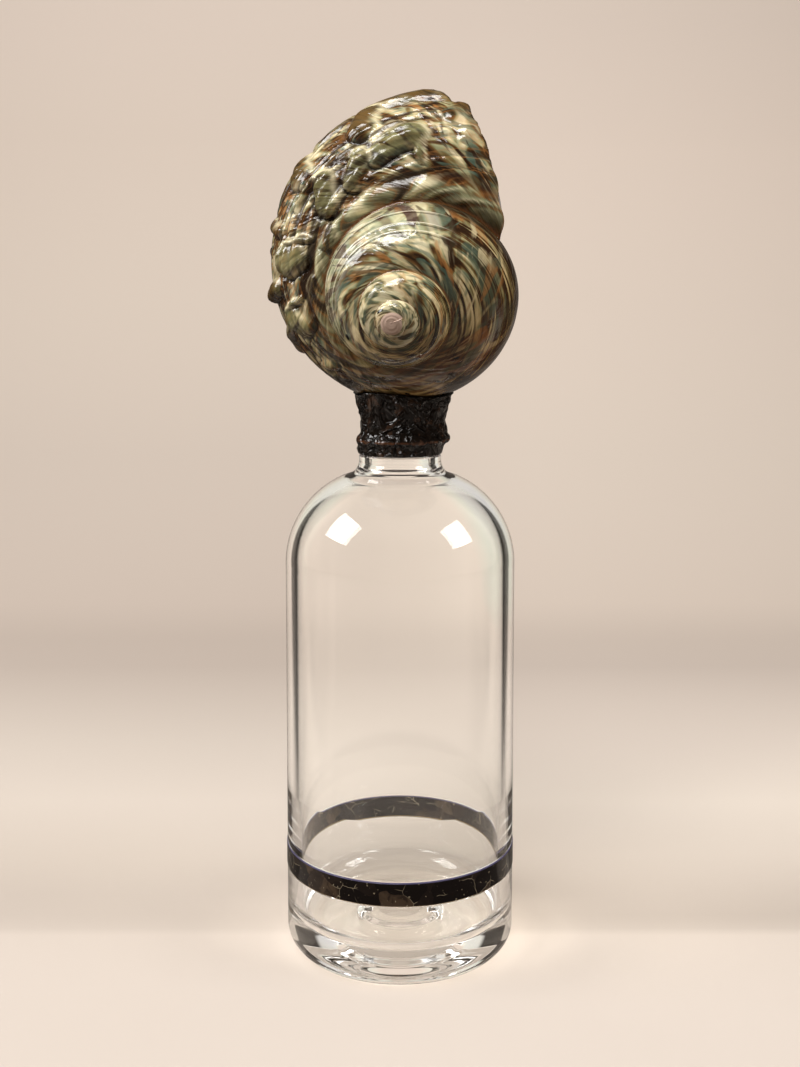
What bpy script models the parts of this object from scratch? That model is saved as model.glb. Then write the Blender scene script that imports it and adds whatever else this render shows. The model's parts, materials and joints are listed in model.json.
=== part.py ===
"""A clear glass decanter whose stopper is a polished turban shell.

Five pieces, each one object: the blown glass bottle, the dark band laid round
its foot, the cork plug inside the neck, the cast collar that caps the neck and
cups the shell, and the shell itself. Metres, +Z up, the bottle's axis on the Z
axis and the ground at z = 0. The shell's apex looks toward -Y.
"""

import math

import bmesh
import bpy
import numpy as np
from mathutils import Matrix, Vector
from mathutils.bvhtree import BVHTree

MM = 0.001
FIT_GAP = 0.3 * MM

# Glass bottle
BODY_RADIUS = 44.0 * MM
HEEL_RADIUS = 8.0 * MM
SHOULDER_Z = 150.0 * MM
SHOULDER_ARC = 36.0 * MM
NECK_RADIUS = 15.7 * MM
NECK_FILLET = 6.0 * MM
COLLAR_SEAT_Z = 191.4 * MM
FINISH_RADIUS = 13.5 * MM
RIM_Z = 205.0 * MM
BORE_RADIUS = 11.4 * MM
FLOOR_Z = 16.0 * MM
FLOOR_CORNER = 14.0 * MM
WALL_BASE = 5.4 * MM
WALL_MID = 4.2 * MM
WALL_SHOULDER = 4.0 * MM

# Inlaid band
BAND_LOW_Z = 32.3 * MM
BAND_HIGH_Z = 41.0 * MM
BAND_PROUD = 0.25 * MM
BAND_DEPTH = 1.2 * MM
BAND_EDGE = 0.3 * MM

# Cork plug
PLUG_RADIUS = 11.1 * MM
PLUG_LOW_Z = 193.4 * MM
PLUG_HIGH_Z = 204.7 * MM
PLUG_CHAMFER = 0.8 * MM

# Cast collar
COLLAR_LOW_Z = 191.8 * MM
COLLAR_FOOT_RADIUS = 16.1 * MM
BEAD_Z = 197.6 * MM
BEAD_RADIUS = 17.9 * MM
COLLAR_WAIST_RADIUS = 16.7 * MM
CUP_RADIUS = 19.2 * MM
CUP_HIGHEST_RIM_Z = 219.5 * MM
COLLAR_BORE_RADIUS = 13.9 * MM
COLLAR_CEILING_Z = 205.4 * MM
PROBE = 1.9 * MM
SEAT_PROBES = ((0.0, 0.0), (PROBE, 0.0), (-PROBE, 0.0), (0.0, PROBE), (0.0, -PROBE))

# Turban shell: a whorl whose suture shrinks steadily from the lip to the apex
SUTURE_RADIUS = 38.2 * MM
SHRINK = 0.820
SHRINK_EASE = -0.031
SPIRE_SLOPE = 0.922
SPIRE_SLOPE_GAIN = 0.318
PERIPHERY_REACH = 1.979
PERIPHERY_TAPER = -0.19
PERIPHERY_DROP = 0.952
BASE_DROP = 1.0
LIP_ANGLE = math.radians(58.1)
AXIS_YAW = math.radians(7.5)
AXIS_PITCH = math.radians(-17.3)
APEX = Vector((-3.2 * MM, -58.0 * MM, 240.9 * MM))
LIP_LAG = 0.11
LIP_WALL = 2.4 * MM
INNER_WALL = 3.4 * MM
POCKET_TURNS = 0.62
TURNS = 4
NUCLEUS_TURN = 3.0
NUCLEUS_TAPER = 0.2
NUCLEUS_RISE = 1.1 * MM
LIP_TIP = 0.014
STEPS_PER_TURN = 38
STEP_CROWDING = 0.07
UPPER_COLUMNS = 8
LOWER_COLUMNS = 14
POCKET_RINGS = 8

BOTTLE_STEPS = 36
BAND_STEPS = 40
COLLAR_STEPS = 32

GLASS_COLOUR = (0.93, 0.95, 0.94, 0.35)
BAND_COLOUR = (0.06, 0.045, 0.04, 1.0)
CORK_COLOUR = (0.55, 0.36, 0.20, 1.0)
COLLAR_COLOUR = (0.035, 0.025, 0.02, 1.0)
SHELL_COLOUR = (0.34, 0.33, 0.20, 1.0)


def clear_scene():
    """Remove whatever objects the scene starts with."""
    for obj in list(bpy.data.objects):
        bpy.data.objects.remove(obj, do_unlink=True)


def make_collection(name):
    """A collection linked to the scene."""
    collection = bpy.data.collections.new(name)
    bpy.context.scene.collection.children.link(collection)
    return collection


def make_material(name, colour, roughness, transmission=0.0):
    """One plain Principled material."""
    material = bpy.data.materials.new(name)
    material.use_nodes = True
    shader = material.node_tree.nodes["Principled BSDF"]
    shader.inputs["Base Color"].default_value = colour
    shader.inputs["Roughness"].default_value = roughness
    shader.inputs["Transmission Weight"].default_value = transmission
    return material


def arc(centre_r, centre_z, radius, start_deg, end_deg, count):
    """Points on a circular arc in the profile plane, both ends included."""
    points = []
    for step in range(count + 1):
        angle = math.radians(start_deg + (end_deg - start_deg) * step / count)
        points.append((centre_r + radius * math.cos(angle), centre_z + radius * math.sin(angle)))
    return points


def turned_object(name, profile, steps, closed, material, collection):
    """A solid of revolution about Z, its profile given as (radius, height)."""
    mesh = bpy.data.meshes.new(name)
    bm = bmesh.new()
    verts = [bm.verts.new((radius, 0.0, height)) for radius, height in profile]
    for first, second in zip(verts[:-1], verts[1:]):
        bm.edges.new((first, second))
    if closed:
        bm.edges.new((verts[-1], verts[0]))
    bm.to_mesh(mesh)
    bm.free()
    obj = bpy.data.objects.new(name, mesh)
    collection.objects.link(obj)
    screw = obj.modifiers.new("Turn", "SCREW")
    screw.axis = "Z"
    screw.angle = 2.0 * math.pi
    screw.steps = steps
    screw.render_steps = steps
    screw.use_merge_vertices = True
    screw.merge_threshold = 0.00005
    screw.use_smooth_shade = True
    obj.data.materials.append(material)
    return obj


def bottle_profile():
    """The bottle's section, from the middle of its inner floor out to its flat foot."""
    inner_low = BODY_RADIUS - WALL_BASE
    inner_mid = BODY_RADIUS - WALL_MID
    arc_centre = BODY_RADIUS - SHOULDER_ARC
    inner_arc = SHOULDER_ARC - WALL_SHOULDER
    points = [(0.0, FLOOR_Z + 1.2 * MM), (14.0 * MM, FLOOR_Z + 0.5 * MM)]
    points += arc(inner_low - FLOOR_CORNER, FLOOR_Z + FLOOR_CORNER, FLOOR_CORNER, -90, 0, 4)
    points += [(inner_mid, 62.0 * MM), (inner_mid, SHOULDER_Z - 2.0 * MM)]
    points += arc(arc_centre, SHOULDER_Z - 0.5 * MM, inner_arc, 4, 70, 6)
    points += [(BORE_RADIUS + 1.2 * MM, 185.5 * MM), (BORE_RADIUS, 188.0 * MM)]
    points += [(BORE_RADIUS, RIM_Z - 0.8 * MM), (BORE_RADIUS + 0.7 * MM, RIM_Z)]
    points += [(FINISH_RADIUS - 0.6 * MM, RIM_Z), (FINISH_RADIUS, RIM_Z - 0.6 * MM)]
    points += [(FINISH_RADIUS, COLLAR_SEAT_Z), (NECK_RADIUS, COLLAR_SEAT_Z)]
    points += neck_fillet()
    points += arc(arc_centre, SHOULDER_Z, SHOULDER_ARC, 66, 0, 8)
    points += band_groove()
    heel_z = HEEL_RADIUS
    points += arc(BODY_RADIUS - HEEL_RADIUS, heel_z, HEEL_RADIUS, 0, -90, 4)
    points += [(0.0, 0.0)]
    return points


def neck_fillet():
    """The small hollow curve where the shoulder turns up into the neck."""
    centre_r = NECK_RADIUS + NECK_FILLET
    centre_z = 189.4 * MM
    return arc(centre_r, centre_z, NECK_FILLET, 180, 240, 3)


def band_groove():
    """The shallow channel round the body that holds the band."""
    depth = BODY_RADIUS - BAND_DEPTH
    return [
        (BODY_RADIUS, BAND_HIGH_Z + FIT_GAP),
        (depth, BAND_HIGH_Z + FIT_GAP),
        (depth, BAND_LOW_Z - FIT_GAP),
        (BODY_RADIUS, BAND_LOW_Z - FIT_GAP),
    ]


def band_profile():
    """The band's section: a flat strip with eased outer edges."""
    inner = BODY_RADIUS - BAND_DEPTH + FIT_GAP
    outer = BODY_RADIUS + BAND_PROUD
    return [
        (inner, BAND_HIGH_Z),
        (outer - BAND_EDGE, BAND_HIGH_Z),
        (outer, BAND_HIGH_Z - BAND_EDGE),
        (outer, BAND_LOW_Z + BAND_EDGE),
        (outer - BAND_EDGE, BAND_LOW_Z),
        (inner, BAND_LOW_Z),
    ]


def plug_profile():
    """The cork's section, chamfered at both ends."""
    return [
        (0.0, PLUG_HIGH_Z),
        (PLUG_RADIUS - PLUG_CHAMFER, PLUG_HIGH_Z),
        (PLUG_RADIUS, PLUG_HIGH_Z - PLUG_CHAMFER),
        (PLUG_RADIUS - 0.3 * MM, PLUG_LOW_Z + PLUG_CHAMFER),
        (PLUG_RADIUS - 0.3 * MM - PLUG_CHAMFER, PLUG_LOW_Z),
        (0.0, PLUG_LOW_Z),
    ]


def smooth_step(value):
    """Ease from 0 to 1."""
    value = np.clip(value, 0.0, 1.0)
    return value * value * (3.0 - 2.0 * value)


def whorl_scale(turn):
    """Size of the whorl, relative to the lip, at a number of turns in from it."""
    coiled = np.minimum(turn, NUCLEUS_TURN)
    worn = 1.0 - NUCLEUS_TAPER * np.maximum(turn - NUCLEUS_TURN, 0.0)
    return np.exp(-(SHRINK * coiled + SHRINK_EASE * coiled * coiled)) * worn


def whorl_section(turn, across):
    """Radius and height in the whorl's section.

    across runs 0 at the suture, 1 at the periphery, 2 at the lowest part of the
    base and 3 at the columella.
    """
    scale = whorl_scale(turn)
    slope = SPIRE_SLOPE + SPIRE_SLOPE_GAIN * scale
    older = whorl_scale(turn - 1.0)
    older_slope = SPIRE_SLOPE + SPIRE_SLOPE_GAIN * older
    join = np.where(turn >= 1.0, 1.0, smooth_step((turn - 0.35) / 0.65))
    reach = (PERIPHERY_REACH + PERIPHERY_TAPER * turn) * (1.0 - join) + older / scale * join
    drop = (slope + PERIPHERY_DROP) * (1.0 - join) + older_slope * older / scale * join
    base = slope + PERIPHERY_DROP + BASE_DROP
    base_reach = reach - 1.0
    upper = np.clip(across, 0.0, 1.0) * math.pi / 2.0
    lower = np.clip(across - 1.0, 0.0, 1.0) * math.pi / 2.0
    inner = np.clip(across - 2.0, 0.0, 1.0)
    radius = 1.0 + (reach - 1.0) * np.sin(upper)
    height = -slope - (drop - slope) * (1.0 - np.cos(upper))
    radius = radius - (reach - base_reach) * (1.0 - np.cos(lower))
    height = height - (base - drop) * np.sin(lower)
    turned = inner * math.radians(72.0)
    radius = radius - (base_reach - 0.05) * np.sin(turned) / math.sin(math.radians(72.0))
    height = height + 0.62 * (1.0 - np.cos(turned))
    size = SUTURE_RADIUS * scale
    return radius * size, height * size


def shell_axes():
    """The apex direction and the two directions square to it."""
    axis = Vector((
        -math.sin(AXIS_YAW) * math.cos(AXIS_PITCH),
        -math.cos(AXIS_YAW) * math.cos(AXIS_PITCH),
        math.sin(AXIS_PITCH),
    ))
    side = Vector((0.0, 0.0, 1.0)).cross(axis).normalized()
    return np.array(axis), np.array(side), np.array(axis.cross(side))


def place(turn, radius, height):
    """Points in space from a turn, a radius and a height along the shell's axis."""
    axis, side, up = shell_axes()
    angle = LIP_ANGLE - 2.0 * math.pi * turn
    return (
        np.array(APEX)
        + (radius * np.sin(angle))[..., None] * side
        + (radius * np.cos(angle))[..., None] * up
        + height[..., None] * axis
    )


def lip_lag(across):
    """How far, in turns, the slanting lip lies behind its upper end."""
    front = np.sin(np.clip(across, 0.0, 1.0) * math.pi / 2.0) ** 0.9
    back = 0.55 * np.clip((across - 1.5) / 1.5, 0.0, 1.0)
    return LIP_LAG * (front - back) - LIP_TIP * np.exp(-((across / 0.2) ** 2))


def lump(turn, across, start, end, width, height):
    """A rounded sausage of shell between two (turn, across) points."""
    per_turn = 380.0 * MM
    per_across = 55.0 * MM
    x0, y0 = start[0] * per_turn, start[1] * per_across
    dx, dy = end[0] * per_turn - x0, end[1] * per_across - y0
    px, py = turn * per_turn - x0, across * per_across - y0
    along = np.clip((px * dx + py * dy) / (dx * dx + dy * dy), 0.0, 1.0)
    away = np.hypot(px - along * dx, py - along * dy) / width
    return height * np.clip(1.0 - away * away, 0.0, 1.0) ** 1.2


def shell_relief(turn, across):
    """Height of the body whorl's lumps, ridges and cords above its plain form."""
    relief = np.zeros_like(turn)
    shoulder = [
        ((0.194, 0.41), (0.134, 0.42), 5.2, 3.2),
        ((0.130, 0.43), (0.112, 0.19), 3.4, 1.7),
        ((0.236, 0.37), (0.198, 0.31), 4.8, 2.6),
        ((0.284, 0.42), (0.244, 0.35), 4.6, 2.5),
        ((0.346, 0.52), (0.324, 0.32), 4.8, 2.2),
        ((0.425, 0.50), (0.395, 0.40), 4.6, 1.9),
        ((0.500, 0.50), (0.470, 0.42), 4.4, 1.6),
        ((0.585, 0.52), (0.550, 0.46), 5.6, 2.8),
    ]
    high = [
        ((0.214, 0.60), (0.182, 0.75), 4.0, 2.4),
        ((0.205, 0.51), (0.150, 0.57), 3.2, 1.6),
        ((0.282, 0.72), (0.258, 0.63), 4.2, 2.2),
        ((0.350, 0.78), (0.325, 0.70), 4.2, 2.0),
        ((0.424, 0.70), (0.410, 0.78), 5.4, 4.6),
        ((0.490, 0.80), (0.465, 0.74), 4.2, 1.8),
        ((0.320, 0.12), (0.280, 0.09), 3.0, 1.2),
    ]
    rim = [
        ((0.184, 0.84), (0.115, 0.78), 3.0, 1.0),
        ((0.175, 0.96), (0.115, 0.90), 3.0, 1.2),
        ((0.200, 0.97), (0.128, 1.00), 7.0, 3.4),
        ((0.260, 1.02), (0.220, 0.98), 4.2, 1.9),
        ((0.340, 1.04), (0.300, 0.99), 4.2, 1.8),
        ((0.420, 1.04), (0.385, 1.00), 4.2, 1.6),
        ((0.510, 1.04), (0.470, 1.00), 4.0, 1.4),
        ((0.600, 1.04), (0.560, 1.00), 4.0, 1.1),
    ]
    base = [
        ((0.210, 1.46), (0.150, 1.44), 4.6, 1.6),
        ((0.320, 1.46), (0.260, 1.44), 4.6, 1.5),
        ((0.430, 1.46), (0.370, 1.44), 4.4, 1.3),
        ((0.540, 1.46), (0.480, 1.44), 4.2, 1.0),
    ]
    for start, end, width, height in shoulder + high + rim + base:
        relief = np.maximum(relief, lump(turn, across, start, end, width * MM, height * MM))
    return relief


def surface(turn, across, raised=True):
    """Points of the shell's outside, lumps included."""
    point = place(turn, *whorl_section(turn, across))
    if not raised:
        return point
    step = 1e-3
    along = place(turn + step, *whorl_section(turn + step, across)) - point
    down = place(turn, *whorl_section(turn, across + step)) - point
    normal = np.cross(down, along)
    normal /= np.maximum(np.linalg.norm(normal, axis=-1, keepdims=True), 1e-12)
    fade = smooth_step((0.95 - turn) / 0.3) * smooth_step(across / 0.06)
    return point + normal * (shell_relief(turn, across) * fade)[..., None]


def turn_at(row):
    """Turns in from the lip at a row; rows crowd together on the lumpy half."""
    part = row / STEPS_PER_TURN
    wave = np.sin(2.0 * math.pi * (part + 0.2)) - math.sin(0.4 * math.pi)
    return part + STEP_CROWDING * wave


def shell_mesh():
    """One closed body: the coiled outside, its apex, and the hollow behind the lip."""
    per_turn, upper = STEPS_PER_TURN, UPPER_COLUMNS
    columns = UPPER_COLUMNS + LOWER_COLUMNS
    across = np.concatenate([
        np.linspace(0.0, 1.0, upper + 1),
        1.0 + 2.0 * np.linspace(0.0, 1.0, LOWER_COLUMNS + 1)[1:] ** 0.95,
    ])
    verts = []
    index = {}

    def add(key, point):
        index[key] = len(verts)
        verts.append(tuple(float(value) for value in point))

    for row in range(TURNS * per_turn + 1):
        plain_turn = turn_at(row)
        last = columns if row <= per_turn else upper - 1
        values = across[: last + 1]
        lag = lip_lag(values) * max(0.0, 1.0 - plain_turn) ** 2
        points = surface(plain_turn + lag, values)
        for column in range(last + 1):
            if row == per_turn and column == upper:
                index[(row, column)] = index[(0, 0)]
            else:
                add((row, column), points[column])
        if row > per_turn:
            index[(row, upper)] = index[(row - per_turn, 0)]

    faces = []
    for row in range(TURNS * per_turn):
        for column in range(columns if row < per_turn else upper):
            faces.append((
                index[(row, column)],
                index[(row, column + 1)],
                index[(row + 1, column + 1)],
                index[(row + 1, column)],
            ))
    faces += apex_faces(verts, index, per_turn, upper)
    faces += pocket_faces(verts, index, across)
    return verts, faces


def apex_faces(verts, index, per_turn, upper):
    """The smooth worn tip that closes the innermost turn."""
    end = TURNS * per_turn
    ring = [index[(row, 0)] for row in range(end - per_turn, end + 1)]
    ring += [index[(end, column)] for column in range(1, upper)]
    axis = np.array(shell_axes()[0])
    centre = np.mean([verts[k] for k in ring], axis=0)
    inner = []
    for k in ring:
        inner.append(len(verts))
        point = centre + 0.6 * (np.array(verts[k]) - centre) + 0.75 * NUCLEUS_RISE * axis
        verts.append(tuple(float(value) for value in point))
    tip = len(verts)
    verts.append(tuple(float(value) for value in centre + NUCLEUS_RISE * axis))
    faces = []
    for k in range(len(ring)):
        after = (k + 1) % len(ring)
        faces.append((ring[k], ring[after], inner[after], inner[k]))
        faces.append((inner[k], inner[after], tip))
    return faces


def pocket_faces(verts, index, across):
    """The hollow behind the lip, winding inward and closed at its far end."""
    per_turn, upper = STEPS_PER_TURN, UPPER_COLUMNS
    columns = len(across) - 1
    mouth = [index[(0, column)] for column in range(columns + 1)]
    mouth += [index[(row, columns)] for row in range(1, per_turn + 1)]
    mouth += [index[(per_turn, column)] for column in range(columns - 1, upper, -1)]
    depths = [0.0, 0.006] + list(POCKET_TURNS * np.linspace(0.04, 1.0, POCKET_RINGS - 2) ** 1.1)
    rings = [mouth]
    for depth in depths:
        ring = []
        for point in pocket_ring(depth, across):
            ring.append(len(verts))
            verts.append(tuple(float(value) for value in point))
        rings.append(ring)
    count = len(mouth)
    faces = []
    for outer, inner in zip(rings[:-1], rings[1:]):
        for k in range(count):
            after = (k + 1) % count
            faces.append((outer[k], inner[k], inner[after], outer[after]))
    end = len(verts)
    centre = np.mean([verts[k] for k in rings[-1]], axis=0)
    verts.append(tuple(float(value) for value in centre))
    for k in range(count):
        faces.append((rings[-1][k], end, rings[-1][(k + 1) % count]))
    return faces


def pocket_ring(depth, across):
    """One ring of the hollow, drawn in from the whorl's own section."""
    per_turn, upper = STEPS_PER_TURN, UPPER_COLUMNS
    lip_turn = depth + lip_lag(across) * (1.0 - depth) ** 2
    lip = np.stack(whorl_section(lip_turn, across), axis=-1)
    rows = turn_at(np.arange(1, per_turn + 1))
    pillar = np.stack(whorl_section(depth + rows, np.full(per_turn, 3.0)), axis=-1)
    wall_across = across[upper + 1 : -1][::-1]
    wall = np.stack(whorl_section(np.full(len(wall_across), 1.0 + depth), wall_across), axis=-1)
    section = np.concatenate([lip, pillar, wall])
    turns = np.concatenate([
        lip_turn,
        np.full(per_turn, depth) + 0.02 * (1.0 - rows),
        np.full(len(wall_across), depth),
    ])
    scale = SUTURE_RADIUS * float(whorl_scale(np.array(depth)))
    centre = np.array([0.95 * scale, -2.25 * scale])
    inward = centre - section
    distance = np.linalg.norm(inward, axis=-1, keepdims=True)
    settle = min(1.0, depth / 0.06)
    wall_lip = LIP_WALL + (INNER_WALL - LIP_WALL) * settle
    wall_back = 0.9 * MM + (INNER_WALL - 0.9 * MM) * settle
    thickness = np.concatenate([
        np.full(len(across), wall_lip),
        np.full(per_turn + len(wall_across), wall_back),
    ])[:, None]
    section = section + inward / distance * thickness
    return place(turns, section[:, 0], section[:, 1])


def build_shell(material, collection):
    """The turban shell."""
    verts, faces = shell_mesh()
    mesh = bpy.data.meshes.new("shell")
    mesh.from_pydata(verts, [], faces)
    bm = bmesh.new()
    bm.from_mesh(mesh)
    bmesh.ops.triangulate(bm, faces=bm.faces[:])
    bmesh.ops.recalc_face_normals(bm, faces=bm.faces[:])
    for face in bm.faces:
        face.smooth = True
    bm.to_mesh(mesh)
    bm.free()
    obj = bpy.data.objects.new("shell", mesh)
    collection.objects.link(obj)
    mesh.materials.append(material)
    return obj


def collar_side():
    """The collar's outer section from its foot to the start of the cup."""
    bead = arc(BEAD_RADIUS - 1.9 * MM, BEAD_Z, 1.9 * MM, -60, 60, 3)
    return [(COLLAR_FOOT_RADIUS, COLLAR_LOW_Z)] + bead + [
        (COLLAR_WAIST_RADIUS, 201.5 * MM),
        (COLLAR_WAIST_RADIUS + 0.5 * MM, 207.7 * MM),
        (COLLAR_WAIST_RADIUS + 1.2 * MM, 211.5 * MM),
    ]


def build_collar(shell, material, collection):
    """The cast collar; its top follows the underside of the shell it cups."""
    tree = BVHTree.FromPolygons(
        [vert.co[:] for vert in shell.data.vertices],
        [face.vertices[:] for face in shell.data.polygons],
    )

    def seat(x, y):
        lowest = CUP_HIGHEST_RIM_Z
        for dx, dy in SEAT_PROBES:
            start = Vector((x + dx, y + dy, COLLAR_LOW_Z))
            hit = tree.ray_cast(start, Vector((0.0, 0.0, 1.0)))[0]
            lowest = min(lowest, hit.z) if hit else lowest
        return lowest - FIT_GAP

    side = collar_side()
    bm = bmesh.new()
    rings = []
    for radius, height in [(COLLAR_BORE_RADIUS, COLLAR_CEILING_Z), (COLLAR_BORE_RADIUS, COLLAR_LOW_Z)] + side:
        rings.append([
            bm.verts.new((radius * math.cos(a), radius * math.sin(a), height)) for a in ring_angles()
        ])
    for radius in (CUP_RADIUS, CUP_RADIUS - 1.4 * MM, 14.0 * MM, 7.5 * MM):
        ring = []
        for a in ring_angles():
            x, y = radius * math.cos(a), radius * math.sin(a)
            ring.append(bm.verts.new((x, y, seat(x, y))))
        rings.append(ring)
    top = bm.verts.new((0.0, 0.0, seat(0.0, 0.0)))
    ceiling = bm.verts.new((0.0, 0.0, COLLAR_CEILING_Z))
    count = COLLAR_STEPS
    for low, high in zip(rings[:-1], rings[1:]):
        for k in range(count):
            after = (k + 1) % count
            bm.faces.new((low[k], low[after], high[after], high[k]))
    for k in range(count):
        after = (k + 1) % count
        bm.faces.new((rings[-1][k], rings[-1][after], top))
        bm.faces.new((rings[0][after], rings[0][k], ceiling))
    bmesh.ops.triangulate(bm, faces=bm.faces[:])
    bmesh.ops.recalc_face_normals(bm, faces=bm.faces[:])
    for face in bm.faces:
        face.smooth = True
    mesh = bpy.data.meshes.new("stopper_collar")
    bm.to_mesh(mesh)
    bm.free()
    obj = bpy.data.objects.new("stopper_collar", mesh)
    collection.objects.link(obj)
    mesh.materials.append(material)
    return obj


def ring_angles():
    """The collar's steps round the axis."""
    return [2.0 * math.pi * k / COLLAR_STEPS for k in range(COLLAR_STEPS)]


def main():
    """Build the five pieces."""
    clear_scene()
    parts = make_collection("Shell decanter")
    glass = make_material("glass", GLASS_COLOUR, 0.03, transmission=1.0)
    band = make_material("inlay", BAND_COLOUR, 0.2)
    cork = make_material("cork", CORK_COLOUR, 0.9)
    cast = make_material("dark_cast", COLLAR_COLOUR, 0.3)
    lacquer = make_material("shell", SHELL_COLOUR, 0.15)
    turned_object("bottle", bottle_profile(), BOTTLE_STEPS, False, glass, parts)
    turned_object("inlay_band", band_profile(), BAND_STEPS, True, band, parts)
    turned_object("stopper_plug", plug_profile(), 24, False, cork, parts)
    shell = build_shell(lacquer, parts)
    build_collar(shell, cast, parts)
    bpy.context.view_layer.update()


main()
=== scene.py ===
"""Studio scene of a clear glass decanter stoppered with a polished turban shell.

The bottle, its inlaid band, the cork, the cast collar and the shell each have a
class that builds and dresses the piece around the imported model. The shell is
one coil whose size falls off steadily from the lip to the apex. Each place on
it has a turn, counted in from the lip, and an across: 0 at the suture, 1 at the
periphery, 2 at the base and 3 at the columella.
"""

from __future__ import annotations

import json
import logging
import math
from dataclasses import dataclass, field
from enum import Enum
from functools import cache
from typing import Callable, Sequence

import bmesh
import bpy
import numpy as np
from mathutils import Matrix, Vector
from mathutils.bvhtree import BVHTree

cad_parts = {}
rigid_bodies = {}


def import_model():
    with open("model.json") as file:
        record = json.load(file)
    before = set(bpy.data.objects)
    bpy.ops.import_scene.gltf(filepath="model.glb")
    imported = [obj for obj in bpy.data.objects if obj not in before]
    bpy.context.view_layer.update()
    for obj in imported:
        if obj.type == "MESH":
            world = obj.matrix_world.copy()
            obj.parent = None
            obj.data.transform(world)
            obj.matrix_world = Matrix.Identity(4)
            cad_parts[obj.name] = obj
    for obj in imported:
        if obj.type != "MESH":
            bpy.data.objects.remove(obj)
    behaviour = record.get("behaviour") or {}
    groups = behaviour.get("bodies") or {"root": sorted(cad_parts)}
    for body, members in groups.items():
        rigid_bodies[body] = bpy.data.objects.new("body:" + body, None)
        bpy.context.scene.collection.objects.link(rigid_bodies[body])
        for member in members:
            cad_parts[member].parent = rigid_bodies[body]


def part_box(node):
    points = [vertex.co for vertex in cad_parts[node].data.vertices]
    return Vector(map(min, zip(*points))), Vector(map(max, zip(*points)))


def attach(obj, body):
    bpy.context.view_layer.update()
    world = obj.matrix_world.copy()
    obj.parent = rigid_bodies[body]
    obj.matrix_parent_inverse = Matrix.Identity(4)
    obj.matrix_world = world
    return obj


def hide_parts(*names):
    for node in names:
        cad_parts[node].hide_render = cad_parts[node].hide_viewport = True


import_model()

MM = 0.001
FULL_TURN = 2.0 * math.pi
ROUND_STEPS = 224
SHARP_ANGLE = math.radians(38.0)
SHRINK_RATE = -0.8
SPIRAL_CORDS = ((0.75, 0.022), (0.575, 0.020), (0.47, 0.020))
LOG = logging.getLogger("decanter")
Colour = tuple[float, float, float, float]
Mark = tuple[float, float]
Place = tuple[float, float, float]
Profile = list[tuple[float, float]]


def srgb(red: int, green: int, blue: int) -> Colour:
    """Turn a display colour into the linear one that shaders use.

    Args:
        red: Red, 0 to 255.
        green: Green, 0 to 255.
        blue: Blue, 0 to 255.

    Returns:
        Linear red, green, blue and an alpha of 1.
    """
    levels = [value / 255.0 for value in (red, green, blue)]
    linear = [level / 12.92 if level <= 0.04045 else ((level + 0.055) / 1.055) ** 2.4
              for level in levels]
    return (*linear, 1.0)


def ease(value: np.ndarray | float) -> np.ndarray:
    """Ease from 0 to 1."""
    level = np.clip(value, 0.0, 1.0)
    return level * level * (3.0 - 2.0 * level)


@cache
def heights(node: str) -> tuple[float, float]:
    """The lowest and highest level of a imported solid, in millimetres."""
    low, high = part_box(node)
    return low[2] / MM, high[2] / MM


# ---------------------------------------------------------------- node graphs


class Value:
    """A number, colour or vector in a node tree, with plain arithmetic."""

    def __init__(self, graph: Graph, socket: bpy.types.NodeSocket) -> None:
        """Keep the graph and the socket that gives the value."""
        self.graph, self.socket = graph, socket

    def __add__(self, other: Number) -> Value:
        """The sum."""
        return self.graph.math("ADD", self, other)

    def __mul__(self, other: Number) -> Value:
        """The product."""
        return self.graph.math("MULTIPLY", self, other)

    __radd__, __rmul__ = __add__, __mul__

    def __sub__(self, other: Number) -> Value:
        """The difference."""
        return self.graph.math("SUBTRACT", self, other)

    def __rsub__(self, other: Number) -> Value:
        """The difference, taken from a number."""
        return self.graph.math("SUBTRACT", other, self)

    def __truediv__(self, other: Number) -> Value:
        """The quotient."""
        return self.graph.math("DIVIDE", self, other)

    def __pow__(self, other: Number) -> Value:
        """The power."""
        return self.graph.math("POWER", self, other)

    def __abs__(self) -> Value:
        """The size without its sign."""
        return self.graph.math("ABSOLUTE", self)

    def exp(self) -> Value:
        """The exponential."""
        return self.graph.math("EXPONENT", self)

    def larger(self, other: Number) -> Value:
        """The larger of two."""
        return self.graph.math("MAXIMUM", self, other)

    def toward(self, share: Value, other: Value) -> Value:
        """This number drawn toward another by a share."""
        return (other - self) * share + self

    def span(self, low: Number, high: Number, start: float = 0.0, end: float = 1.0) -> Value:
        """A smooth step from start to end while the value goes from low to high."""
        return self.graph.add("ShaderNodeMapRange", {0: self, 1: low, 2: high, 3: start, 4: end},
                              interpolation_type="SMOOTHSTEP")

    def band(self, middle: float, width: float) -> Value:
        """1 at the middle of a narrow band of values and 0 beyond its width."""
        return abs(self - middle).span(0.0, width, 1.0, 0.0)

    def painted(self, share: Number, over: Value | Colour, blend: str = "MIX") -> Value:
        """This colour with another laid over it by a share."""
        return self.graph.mix(share, self, over, blend)

    def parts(self) -> list[Value]:
        """The three parts of a vector."""
        first = self.graph.add("ShaderNodeSeparateXYZ", {0: self})
        return [first.also(index) for index in range(3)]

    def also(self, output: str | int) -> Value:
        """Another output of the same node."""
        return Value(self.graph, self.socket.node.outputs[output])


Number = Value | float


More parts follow.
